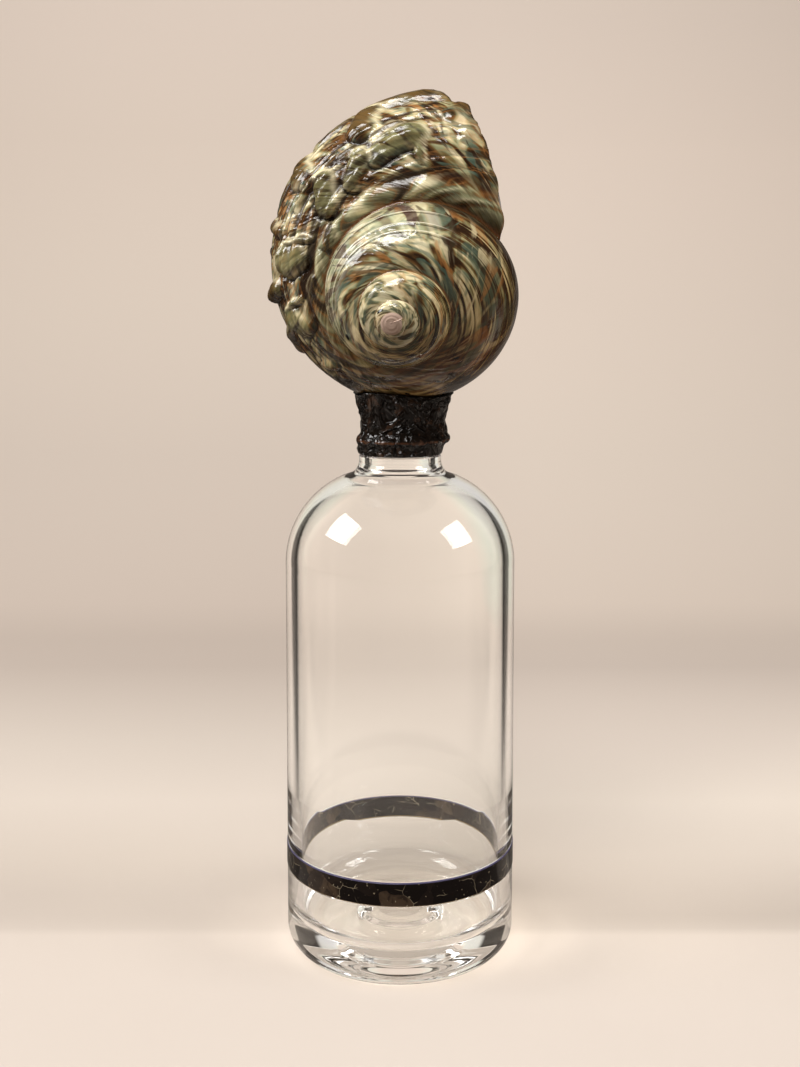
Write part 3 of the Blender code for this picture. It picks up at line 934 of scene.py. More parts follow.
def geometry_tree(name: str, inputs: dict[str, object], fill: Fill) -> bpy.types.NodeTree:
    """A geometry tree that offsets points along their normals.

    Args:
        name: The tree's name.
        inputs: Name and default of each value after the geometry.
        fill: Gives the offset in metres and the value kept as "crest".

    Returns:
        The finished tree, ending in Realize Instances and Set Material.
    """
    inputs = {"Geometry": "Geometry", **inputs, "Finish": "Material"}
    graph, given, end = open_tree(name, "GeometryNodeTree", inputs, {"Geometry": "Geometry"})
    height, crest = fill(graph, given)
    kept = graph.add("GeometryNodeStoreNamedAttribute", {
        "Geometry": given["Geometry"], "Name": "crest", "Value": crest},
        domain="POINT", data_type="FLOAT")
    normal = graph.add("GeometryNodeInputNormal")
    offset = graph.add("ShaderNodeVectorMath", {0: normal, "Scale": height}, operation="SCALE")
    moved = graph.add("GeometryNodeSetPosition", {"Geometry": kept, "Offset": offset})
    real = graph.add("GeometryNodeRealizeInstances", {"Geometry": moved})
    first = graph.math("LESS_THAN", graph.add("GeometryNodeInputMaterialIndex"), 0.5)
    dressed = graph.add("GeometryNodeSetMaterial", {
        "Geometry": real, "Selection": first, "Material": given["Finish"]})
    graph.link(dressed, end.inputs[0])
    return graph.tree


def apply_tree(obj: bpy.types.Object, tree: bpy.types.NodeTree, values: dict[str, float]) -> None:
    """Run a geometry tree on an object and keep its result as plain mesh.

    Args:
        obj: The object that is changed.
        tree: The geometry tree.
        values: Input name to value.
    """
    modifier = obj.modifiers.new(tree.name, "NODES")
    modifier.node_group = tree
    values = {**values, "Finish": obj.data.materials[0]}
    for item in tree.interface.items_tree:
        if item.in_out == "INPUT" and item.name in values:
            modifier[item.identifier] = values[item.name]
    graph = bpy.context.evaluated_depsgraph_get()
    mesh = bpy.data.meshes.new_from_object(obj.evaluated_get(graph), depsgraph=graph)
    obj.modifiers.clear()
    plain, obj.data = obj.data, mesh
    bpy.data.meshes.remove(plain)
    mesh.name = obj.name


def store(obj: bpy.types.Object, **values: Sequence[float]) -> None:
    """Keep numbers for each point of a mesh.

    Args:
        obj: The object that is changed.
        **values: Each attribute's name and its numbers.
    """
    for name, numbers in values.items():
        attribute = obj.data.attributes.new(name, "FLOAT", "POINT")
        attribute.data.foreach_set("value", np.asarray(numbers, dtype=np.float32))


def settle(obj: bpy.types.Object, node: str) -> bpy.types.Object:
    """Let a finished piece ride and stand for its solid.

    Args:
        obj: The piece.
        node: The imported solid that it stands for.

    Returns:
        The same piece.
    """
    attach(obj, "root")
    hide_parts(node)
    LOG.info("%s: %d faces", obj.name, len(obj.data.polygons))
    return obj


# ---------------------------------------------------------------- turned pieces, in millimetres


@dataclass
class Bottle:
    """The blown bottle, a closed solid of revolution with a hollow inside."""

    finish: ClearGlass
    body: float = 44.0
    heel: float = 8.0
    shoulder_z: float = 150.0
    shoulder: float = 36.0
    neck: float = 15.7
    fillet: float = 6.0
    seat_z: float = 191.4
    finish_radius: float = 13.5
    bore: float = 11.4
    floor_z: float = 11.5
    corner: float = 9.0
    ring: float = 14.5
    wall_low: float = 5.4
    wall: float = 4.2
    groove_low: float = 32.0
    groove_high: float = 41.3
    groove_depth: float = 1.2
    foot_width: float = 3.0
    punt: float = 2.8
    polish: float = 0.15

    def inside(self) -> Profile:
        """The section from the middle of the inner floor, with its raised ring, to the rim.

        Returns:
            Radius and height of each point.
        """
        rim = heights("bottle")[1]
        low, mid = self.body - self.wall_low, self.body - self.wall
        floor, ring, bore = self.floor_z, self.ring, self.bore
        return [
            (0.0, floor + 0.5), (9.0, floor + 0.6), (11.5, floor + 0.9), (ring - 1.2, floor + 1.5),
            (ring, floor + 1.7), (ring + 1.2, floor + 1.5), (ring + 3.0, floor + 0.8),
            (23.0, floor + 0.3),
            *arc((low - self.corner, floor + self.corner), self.corner, -90, 0, 20),
            (low + 0.6, 45.0), (mid, 62.0), (mid, self.shoulder_z),
            *arc((self.body - self.shoulder, self.shoulder_z), self.shoulder - self.wall,
                 0, 70, 30)[1:],
            (bore + 2.9, 183.6), (bore + 1.0, 185.6), (bore + 0.2, 188.0), (bore, 191.0),
            (bore, rim - 0.8), (bore + 0.7, rim)]

    def outside(self) -> Profile:
        """The section from the rim down to the middle of the foot, which rises in a low punt.

        Returns:
            Radius and height of each point.
        """
        rim, lip, neck = heights("bottle")[1], self.finish_radius, self.neck
        groove, contact = self.body - self.groove_depth, self.body - self.heel - self.foot_width
        points = [
            (lip - 0.6, rim), (lip, rim - 0.6), (lip, self.seat_z), (neck - 0.3, self.seat_z),
            (neck, self.seat_z - 0.3),
            *arc((neck + self.fillet, self.seat_z - 2.0), self.fillet, 180, 240, 12),
            *arc((self.body - self.shoulder, self.shoulder_z), self.shoulder, 66, 0, 34),
            (self.body, self.groove_high), (groove, self.groove_high), (groove, self.groove_low),
            (self.body, self.groove_low),
            *arc((self.body - self.heel, self.heel), self.heel, 0, -90, 16),
            (contact, 0.0), (contact - 1.0, 0.12)]
        for radius in np.linspace(30.0, 0.0, 31):
            share = 0.35 * ease((30.0 - radius) / 16.0)
            share = share + 0.65 * ease((self.ring + 2.0 - radius) / 4.0)
            points.append((float(radius), self.polish + (self.punt - self.polish) * float(share)))
        return points

    def build(self) -> bpy.types.Object:
        """Build and dress the bottle."""
        obj = turned("glass_bottle", self.inside() + self.outside(), self.finish.make())
        return settle(obj, "bottle")


@dataclass
class InlayBand:
    """The dark strip set round the foot of the bottle."""

    finish: PenShell
    radius: float = 44.0
    proud: float = 0.25
    depth: float = 1.3
    edge: float = 0.3

    def build(self) -> bpy.types.Object:
        """Build and dress the strip.

        Returns:
            The finished piece.
        """
        low, high = heights("inlay_band")
        inner, edge = self.radius - self.depth, self.edge
        middle = self.radius + self.proud - edge
        profile = [
            (inner, high), (middle, high), *arc((middle, high - edge), edge, 90, 0, 4)[1:],
            *arc((middle, low + edge), edge, 0, -90, 4), (inner, low)]
        obj = turned("pen_shell_band", profile, self.finish.make(), closed=True)
        return settle(obj, "inlay_band")


@dataclass
class CorkPlug:
    """The cork inside the neck."""

    finish: Cork
    radius: float = 11.1
    taper: float = 0.3
    chamfer: float = 0.8

    def build(self) -> bpy.types.Object:
        """Build and dress the cork.

        Returns:
            The finished piece.
        """
        low, high = heights("stopper_plug")
        radius, tip, chamfer = self.radius, self.radius - self.taper, self.chamfer
        profile = [(0.0, high), (radius - chamfer, high), (radius, high - chamfer),
                   (tip, low + chamfer), (tip - chamfer, low), (0.0, low)]
        obj = turned("cork_plug", profile, self.finish.make(), steps=64)
        return settle(obj, "stopper_plug")


# ---------------------------------------------------------------- the shell


class LumpKind(Enum):
    """How a lump meets the shell round it: the power of its rise."""

    BLUNT = 1.1
    SOFT = 1.8


@dataclass(frozen=True)
class Lump:
    """A rounded sausage of shell between two (turn, across) places, in millimetres."""

    turn: float
    across: float
    end_turn: float
    end_across: float
    width: float
    height: float
    kind: LumpKind


LUMPS = {
    LumpKind.BLUNT: (
        (0.188, 0.39, 0.158, 0.46, 6.8, 4.2), (0.226, 0.31, 0.214, 0.40, 5.8, 3.3),
        (0.270, 0.26, 0.264, 0.40, 7.0, 3.4), (0.356, 0.32, 0.374, 0.43, 8.0, 3.2),
        (0.456, 0.34, 0.450, 0.42, 8.2, 2.9), (0.196, 0.56, 0.167, 0.58, 2.4, 1.7),
        (0.236, 0.54, 0.218, 0.54, 2.2, 1.3), (0.308, 0.52, 0.270, 0.53, 2.2, 1.5),
        (0.100, 0.50, 0.105, 0.56, 3.2, 1.4), (0.117, 0.68, 0.110, 0.80, 4.4, 1.8),
        (0.204, 0.67, 0.202, 0.84, 6.8, 2.6), (0.282, 0.67, 0.282, 0.84, 6.4, 2.3),
        (0.342, 0.62, 0.345, 0.84, 3.2, 1.7), (0.410, 0.56, 0.418, 0.76, 4.6, 3.4),
        (0.260, 1.02, 0.220, 0.98, 4.2, 1.4), (0.340, 1.04, 0.300, 0.99, 4.2, 1.2)),
    LumpKind.SOFT: (
        (0.138, 0.31, 0.150, 0.52, 2.6, 2.4), (0.318, 0.27, 0.348, 0.48, 2.2, 2.2),
        (0.408, 0.27, 0.436, 0.51, 1.8, 2.3), (0.528, 0.43, 0.532, 0.36, 5.2, 1.7),
        (0.590, 0.52, 0.560, 0.46, 5.6, 1.4), (0.490, 0.80, 0.470, 0.68, 4.8, 2.0),
        (0.318, 0.11, 0.284, 0.10, 2.8, 1.4), (0.400, 0.14, 0.372, 0.10, 2.6, 1.1),
        (0.160, 0.94, 0.128, 0.97, 5.0, 2.4), (0.200, 0.97, 0.150, 1.00, 6.4, 2.8),
        (0.420, 1.04, 0.385, 1.00, 4.2, 1.6), (0.510, 1.04, 0.470, 1.00, 4.0, 1.4),
        (0.600, 1.04, 0.560, 1.00, 4.0, 1.1), (0.210, 1.46, 0.150, 1.44, 4.6, 1.6),
        (0.320, 1.46, 0.260, 1.44, 4.6, 1.5), (0.430, 1.46, 0.370, 1.44, 4.4, 1.3),
        (0.540, 1.46, 0.480, 1.44, 4.2, 1.0)),
}


@dataclass
class Skin:
    """Points and faces as they are laid, with the turn and across of each point and corner."""

    points: list = field(default_factory=list)
    marks: list[Mark] = field(default_factory=list)
    faces: list = field(default_factory=list)
    corners: list[Mark] = field(default_factory=list)

    def point(self, place: np.ndarray, mark: Mark) -> int:
        """Add a point.

        Args:
            place: Where it is, in metres.
            mark: Its turn and across.

        Returns:
            Its index.
        """
        self.points.append(place)
        self.marks.append(mark)
        return len(self.points) - 1

    def face(self, *corners: tuple[int, Mark]) -> None:
        """Add a face from the index and mark of each corner."""
        self.faces.append([index for index, _ in corners])
        self.corners += [mark for _, mark in corners]

    def hoop(self, outer: list[int], old: Mark, inner: list[int], new: Mark) -> None:
        """Join two closed rings of points.

        Args:
            outer: Indices of the outer ring.
            old: Its mark.
            inner: Indices of the inner ring, or one index again and again to close it.
            new: Its mark.
        """
        for k in range(len(outer)):
            after = (k + 1) % len(outer)
            corners = [(outer[k], old), (outer[after], old), (inner[after], new), (inner[k], new)]
            self.face(*corners[:4 if inner[after] != inner[k] else 3])

    def strip(self, low: list[tuple[int, Mark]], high: list[tuple[int, Mark]]) -> None:
        """Fill the strip between two rows, whose column counts may differ.

        Args:
            low: Index and mark of each point of the first row.
            high: Index and mark of each point of the second row.
        """
        if len(low) == len(high):
            for k in range(len(low) - 1):
                self.face(low[k], low[k + 1], high[k + 1], high[k])
            return
        i = j = 0
        while i < len(low) - 1 or j < len(high) - 1:
            if j == len(high) - 1 or (i < len(low) - 1 and low[i + 1][1][1] <= high[j + 1][1][1]):
                self.face(low[i], low[i + 1], high[j])
                i += 1
            else:
                self.face(low[i], high[j + 1], high[j])
                j += 1


@dataclass
class TurbanShell:
    """The whole shell, grown as one coil from its worn tip to its slanting lip."""

    finish: LacqueredShell
    lining: Nacre
    size: float = 38.2 * MM
    shrink: float = 0.820
    shrink_ease: float = -0.031
    slope: float = 0.922
    slope_gain: float = 0.318
    reach: float = 1.979
    reach_taper: float = -0.19
    drop: float = 0.952
    base: float = 1.0
    pillar: float = 0.05
    pillar_rise: float = 0.62
    pillar_angle: float = math.radians(72.0)
    lip_angle: float = math.radians(58.1)
    yaw: float = math.radians(7.5)
    pitch: float = math.radians(-17.3)
    apex: Place = (-3.2 * MM, -58.0 * MM, 240.9 * MM)
    lag: float = 0.11
    lip_tip: float = 0.014
    lip_corner: float = 0.14
    lip_back: float = 0.24
    lip_wall: float = 2.4 * MM
    back_wall: float = 0.9 * MM
    inner_wall: float = 3.4 * MM
    pocket: float = 0.62
    turns: int = 4
    steps: int = 300
    crowding: float = 0.07
    nucleus: float = 3.0
    nucleus_taper: float = 0.2
    nucleus_rise: float = 1.0 * MM
    upper: int = 70
    lower: int = 58
    early: int = 24
    per_turn: float = 380.0
    per_across: float = 55.0
    lumps: tuple[Lump, ...] = tuple(
        Lump(*row, kind) for kind, rows in LUMPS.items() for row in rows)

    def scale(self, turn: np.ndarray | float) -> np.ndarray:
        """Whorl size relative to the lip, a number of turns in from it."""
        coiled, worn = np.minimum(turn, self.nucleus), np.maximum(turn - self.nucleus, 0.0)
        return (np.exp(-(self.shrink * coiled + self.shrink_ease * coiled * coiled))
                * (1.0 - self.nucleus_taper * worn))

    def section(self, turn: np.ndarray, across: np.ndarray) -> tuple[np.ndarray, np.ndarray]:
        """Radius and height in the whorl's section.

        Args:
            turn: Turns in from the lip.
            across: The place round the section.

        Returns:
            Radius from the shell's axis, and height along it from the apex.
        """
        scale, older = self.scale(turn), self.scale(turn - 1.0)
        slope = self.slope + self.slope_gain * scale
        older_slope = self.slope + self.slope_gain * older
        join = np.where(turn >= 1.0, 1.0, ease((turn - 0.35) / 0.65))
        reach = (self.reach + self.reach_taper * turn) * (1.0 - join) + older / scale * join
        drop = (slope + self.drop) * (1.0 - join) + older_slope * older / scale * join
        base = slope + self.drop + self.base
        upper, lower, inner = (np.clip(across - low, 0.0, 1.0) for low in range(3))
        upper, lower, inner = upper * math.pi / 2, lower * math.pi / 2, inner * self.pillar_angle
        radius = (reach - 1.0) * np.sin(upper) + np.cos(lower)
        radius = radius - (reach - 1.0 - self.pillar) * np.sin(inner) / math.sin(self.pillar_angle)
        height = -slope - (drop - slope) * (1.0 - np.cos(upper)) - (base - drop) * np.sin(lower)
        height = height + self.pillar_rise * (1.0 - np.cos(inner))
        return radius * self.size * scale, height * self.size * scale

    def place(self, turn: np.ndarray, radius: np.ndarray, height: np.ndarray) -> np.ndarray:
        """Points in space.

        Args:
            turn: Turns in from the lip.
            radius: Radius from the shell's axis.
            height: Height along the axis from the apex.

        Returns:
            The points in the model's frame.
        """
        axis = Vector((-math.sin(self.yaw) * math.cos(self.pitch),
                       -math.cos(self.yaw) * math.cos(self.pitch), math.sin(self.pitch)))
        side = Vector((0.0, 0.0, 1.0)).cross(axis).normalized()
        angle = self.lip_angle - FULL_TURN * np.asarray(turn)
        ways = ((radius * np.sin(angle), side), (radius * np.cos(angle), axis.cross(side)),
                (height, axis))
        return np.array(self.apex) + sum(np.asarray(far)[..., None] * np.array(way)
                                         for far, way in ways)

    def lip_lag(self, across: np.ndarray) -> np.ndarray:
        """How far, in turns, the slanting lip lies behind its upper end.

        Args:
            across: The place round the section.

        Returns:
            The lag at each place, with the drawn-back corner and far side.
        """
        front = np.sin(np.clip(across, 0.0, 1.0) * math.pi / 2.0) ** 0.9
        front = front + self.lip_corner * ease((across - 0.66) / 0.30)
        far = ease((across - 0.86) / 0.2) * (1.0 - ease((across - 1.3) / 0.7))
        back = 0.55 * np.clip((across - 1.5) / 1.5, 0.0, 1.0)
        tip = self.lip_tip * np.exp(-((across / 0.2) ** 2))
        return self.lag * (front + self.lip_back * far - back) - tip

    def turn_at(self, row: np.ndarray | float) -> np.ndarray:
        """Turns in from the lip at a row; rows crowd on the lumpy half."""
        part, most = np.asarray(row) / self.steps, math.sin(FULL_TURN * 0.2)
        return part + self.crowding * (np.sin(FULL_TURN * (part + 0.2)) - most)

    def lump_fields(self, turn: np.ndarray, across: np.ndarray) -> tuple[np.ndarray, ...]:
        """The lumps of the body whorl, each steep on the side away from the lip.

        Args:
            turn: Turns in from the lip.
            across: The place round the section.

        Returns:
            Height above the plain whorl in metres, then how much each place is
            on a lump's rim and in the crease beside it.
        """
        power = 4.0
        steep_x, steep_y = 0.75, -0.66
        raised, rim, pit = (np.zeros_like(turn) for _ in range(3))
        px, py = turn * self.per_turn, across * self.per_across
        bend_x = 1.1 * np.sin(py / 4.6 + 1.7) + 0.6 * np.sin(py / 2.1 + px / 7.0)
        bend_y = 0.9 * np.sin(px / 6.3 + 0.6) + 0.5 * np.sin(px / 2.9 - py / 6.0)
        px, py = px + bend_x, py + bend_y
        for lump in self.lumps:
            x0, y0 = lump.turn * self.per_turn, lump.across * self.per_across
            dx, dy = lump.end_turn * self.per_turn - x0, lump.end_across * self.per_across - y0
            along = np.clip(((px - x0) * dx + (py - y0) * dy) / (dx * dx + dy * dy), 0.0, 1.0)
            gap_x, gap_y = px - x0 - along * dx, py - y0 - along * dy
            length = np.hypot(gap_x, gap_y)
            facing = (gap_x * steep_x + gap_y * steep_y) / np.maximum(length, 1e-3)
            away = length / lump.width * (1.0 + 0.25 * facing)
            rise = np.clip(1.0 - away * away, 0.0, 1.0) ** lump.kind.value
            raised += (lump.height * (0.75 + 0.25 * along) * rise) ** power
            share = min(1.0, lump.height / 2.4)
            line = np.exp(-(((away - 0.84) / 0.11) ** 2)) * np.clip(-facing * 1.6 - 0.2, 0.0, 1.0)
            crease = np.exp(-(((away - 1.04) / 0.15) ** 2)) * np.clip(facing * 1.5 + 0.5, 0.0, 1.0)
            rim, pit = np.maximum(rim, line * share), np.maximum(pit, crease * share)
        raised = raised ** (1.0 / power)
        fade = ease((0.95 - turn) / 0.3) * ease(across / 0.06) * (turn > -0.5)
        pit = pit * ease((1.2 - raised) / 0.8) * ease((turn - 0.1) / 0.05)
        return (raised - pit) * fade * MM, rim * fade, pit * fade

    def columns(self, row: int = 0) -> np.ndarray:
        """The across value of every column of a row; early whorls have fewer.

        Args:
            row: The row, counted in from the lip.

        Returns:
            The values, from the suture on.
        """
        upper = np.linspace(0.0, 1.0, (self.upper if row <= 2 * self.steps else self.early) + 1)
        if row > self.steps:
            return upper
        lower = np.linspace(0.0, 1.0, self.lower + 1)[1:]
        return np.concatenate([upper, 1.0 + 2.0 * lower ** 0.95])

    def outside(self, skin: Skin) -> dict[tuple[int, int], int]:
        """Lay the coiled outside, whose rows meet the whorl laid one turn before.

        Args:
            skin: Takes the points and faces.

        Returns:
            The index of each (row, column).
        """
        index: dict = {}
        rows = []
        for row in range(self.turns * self.steps + 1):
            across = self.columns(row)
            turn = float(self.turn_at(row))
            lagged = turn + self.lip_lag(across) * max(0.0, 1.0 - turn) ** 2
            points = self.place(lagged, *self.section(lagged, across))
            seam = self.upper if row == self.steps else len(across) - 1
            for column, value in enumerate(across):
                if row >= self.steps and column == seam:
                    index[row, column] = index[row - self.steps, 0]
                else:
                    mark = (float(lagged[column]), float(value))
                    index[row, column] = skin.point(points[column], mark)
            ids = [index[row, column] for column in range(len(across))]
            rows.append(list(zip(ids, zip(lagged - self.lip_lag(across), across))))
        for row, (low, high) in enumerate(zip(rows[:-1], rows[1:])):
            stop = self.upper + 1 if row >= self.steps else len(low)
            skin.strip(low[:stop], high[:stop])
        return index

    def tip(self, skin: Skin, index: dict[tuple[int, int], int]) -> None:
        """Close the worn nucleus with a low dome.

        Args:
            skin: Takes the points and faces.
            index: The index of each (row, column).
        """
        end = self.turns * self.steps
        ring = [index[row, 0] for row in range(end - self.steps, end + 1)]
        ring += [index[end, column] for column in range(1, self.early)]
        centre = np.mean([skin.points[k] for k in ring], axis=0)
        axis = self.place(np.array(0.0), np.array(0.0), np.array(1.0)) - np.array(self.apex)
        outer, old = ring, (4.0, 0.5)
        for share in (0.88, 0.82, 0.65, 0.45, 0.25):
            rise = self.nucleus_rise * math.sqrt(1.0 - share * share)
            new = (5.0 - share, 0.5)
            inner = [skin.point(centre + share * (skin.points[k] - centre) + rise * axis, new)
                     for k in ring]
            skin.hoop(outer, old, inner, new)
            outer, old = inner, new
        top = skin.point(centre + self.nucleus_rise * axis, (5.0, 0.5))
        skin.hoop(outer, old, [top] * len(ring), (5.0, 0.5))

    def hollow(self, skin: Skin, index: dict[tuple[int, int], int]) -> None:
        """Lay the pearly hollow that winds in behind the lip.

        Args:
            skin: Takes the points and faces.
            index: The index of each (row, column).
        """
        across = self.columns()
        last, bare = len(across) - 1, (-1.0, 0.0)
        outer = [index[0, column] for column in range(last + 1)]
        outer += [index[row, last] for row in range(1, self.steps + 1)]
        outer += [index[self.steps, column] for column in range(last - 1, self.upper, -1)]
        for depth in [0.0, 0.006, *self.pocket * np.linspace(0.03, 1.0, 22) ** 1.1]:
            inner = [skin.point(point, bare) for point in self.hollow_ring(float(depth), across)]
            skin.hoop(outer, bare, inner, bare)
            outer = inner
        end = skin.point(np.mean([skin.points[k] for k in outer], axis=0), bare)
        skin.hoop(outer, bare, [end] * len(outer), bare)

    def hollow_ring(self, depth: float, across: np.ndarray) -> np.ndarray:
        """One ring of the hollow, drawn in from the whorl's own section.

        Args:
            depth: Turns in from the lip.
            across: The across value of each column of the body whorl.

        Returns:
            The ring's points.
        """
        lip_turn = depth + self.lip_lag(across) * (1.0 - depth) ** 2
        rows = self.turn_at(np.arange(1, self.steps + 1))
        wall_across = across[self.upper + 1: -1][::-1]
        flat = np.full(len(wall_across), depth)
        pillar = np.full(self.steps, 3.0)
        parts = ((lip_turn, across), (depth + rows, pillar), (1.0 + flat, wall_across))
        section = np.concatenate([np.stack(self.section(*part), axis=-1) for part in parts])
        turns = np.concatenate([lip_turn, depth + 0.02 * (1.0 - rows), flat])
        inward = np.array([0.95, -2.25]) * self.size * float(self.scale(depth)) - section
        settled = min(1.0, depth / 0.06)
        walls = [wall + (self.inner_wall - wall) * settled
                 for wall in (self.lip_wall, self.back_wall)]
        thickness = np.repeat(walls, [len(across), len(turns) - len(across)])[:, None]
        section += inward / np.linalg.norm(inward, axis=-1, keepdims=True) * thickness
        return self.place(turns, section[:, 0], section[:, 1])

    @staticmethod
    def relief(graph: Graph, given: dict[str, Value]) -> Sequence[Value]:
        """Lumps, growth folds, the sutural band and spiral cords.

        Args:
            graph: The geometry tree.
            given: Its inputs.

        Returns:
            The offset along the normal in metres, and the crest value.
        """
        turn, across, grown = map(graph.stored, ("turn", "across", "growth"))
        lumps = graph.stored("lump") * given["Lump Gain"]
        drift = graph.noise(graph.vector(grown * 13.0, across * 3.2), 1.0, 0.0, 0.5) - 0.5
        along = lumps * given["Lump Bend"] + (grown + growth_slant(across))
        along = drift * given["Drift"] + along

        def folds(count: Number, over: float, wander: float) -> Value:
            """Noise drawn out along the growth lines, from -0.5 to 0.5."""
            place = graph.vector(along * count, across * over, given["Seed"])
            return graph.noise(place, 1.0, 1.0, 0.5, wander) - 0.5

        edge = across.span(0.0, 0.04) * across.span(2.9, 2.7)
        edge = edge * turn.span(1.0, 0.98).larger(across.span(1.0, 0.95))
        rough = turn.span(0.75, 0.42) * 0.88 + 0.12
        rough = rough * across.span(0.22, 0.42, 0.75, 1.0) * across.span(0.48, 0.66, 1.0, 0.6)
        rough = rough * turn.span(0.06, 0.2, 0.55, 1.0)
        fold = folds(given["Fold Count"], 1.9, 0.4) * rough
        fold = (fold + folds(84.0, 1.4, 0.3) * (turn.span(0.24, 0.1) * 0.2)) * edge
        band = across.band(0.09, 0.08) - across.band(0.185, 0.06) * 0.8
        band = band * turn.span(0.75, 0.45) * given["Band Height"]
        cords = sum(across.band(*cord) for cord in SPIRAL_CORDS)
        spire = turn.span(0.97, 1.03) * turn.span(1.75, 1.45)
        total = fold * given["Fold Height"] + cords * spire * given["Cord Height"]
        total = (total - rough * given["Sink"]) * (turn * SHRINK_RATE).exp() + (lumps + band)
        crest = band * 160.0 + fold * across.span(0.16, 0.24, 5.5, 3.4)
        grown_part = turn.span(-0.5, -0.4)
        return [total * grown_part, crest * grown_part]

    def build(self) -> bpy.types.Object:
        """Build and dress the shell.

        Returns:
            The finished piece.
        """
        skin = Skin()
        index = self.outside(skin)
        self.tip(skin, index)
        outside_faces = len(skin.faces)
        self.hollow(skin, index)
        obj = mesh_object("turban_shell", skin.points, skin.faces, self.finish.make())
        obj.data.materials.append(self.lining.make())
        slots = np.arange(len(skin.faces)) >= outside_faces
        obj.data.polygons.foreach_set("material_index", slots.astype(np.int32))
        uv = obj.data.uv_layers.new(name="growth")
        uv.data.foreach_set("uv", np.array(skin.corners, dtype=np.float32).ravel())
        turn, across = np.array(skin.marks).T.copy()
        lump, rim, pit = self.lump_fields(turn, across)
        store(obj, turn=turn, growth=turn - self.lip_lag(across), across=across, lump=lump,
              rim=rim, pit=pit)
        outward(obj)
        tree = geometry_tree("Shell relief", {
            "Lump Gain": 1.0, "Fold Height": 5.0 * MM, "Fold Count": 52.0,
            "Cord Height": 0.8 * MM, "Lump Bend": 2.5, "Drift": 0.05, "Sink": 0.5 * MM,
            "Band Height": 1.0 * MM, "Seed": 3.0}, self.relief)
        apply_tree(obj, tree, {"Seed": 3.0, "Fold Height": 5.0 * MM})
        return settle(obj, "shell")


# ---------------------------------------------------------------- the collar


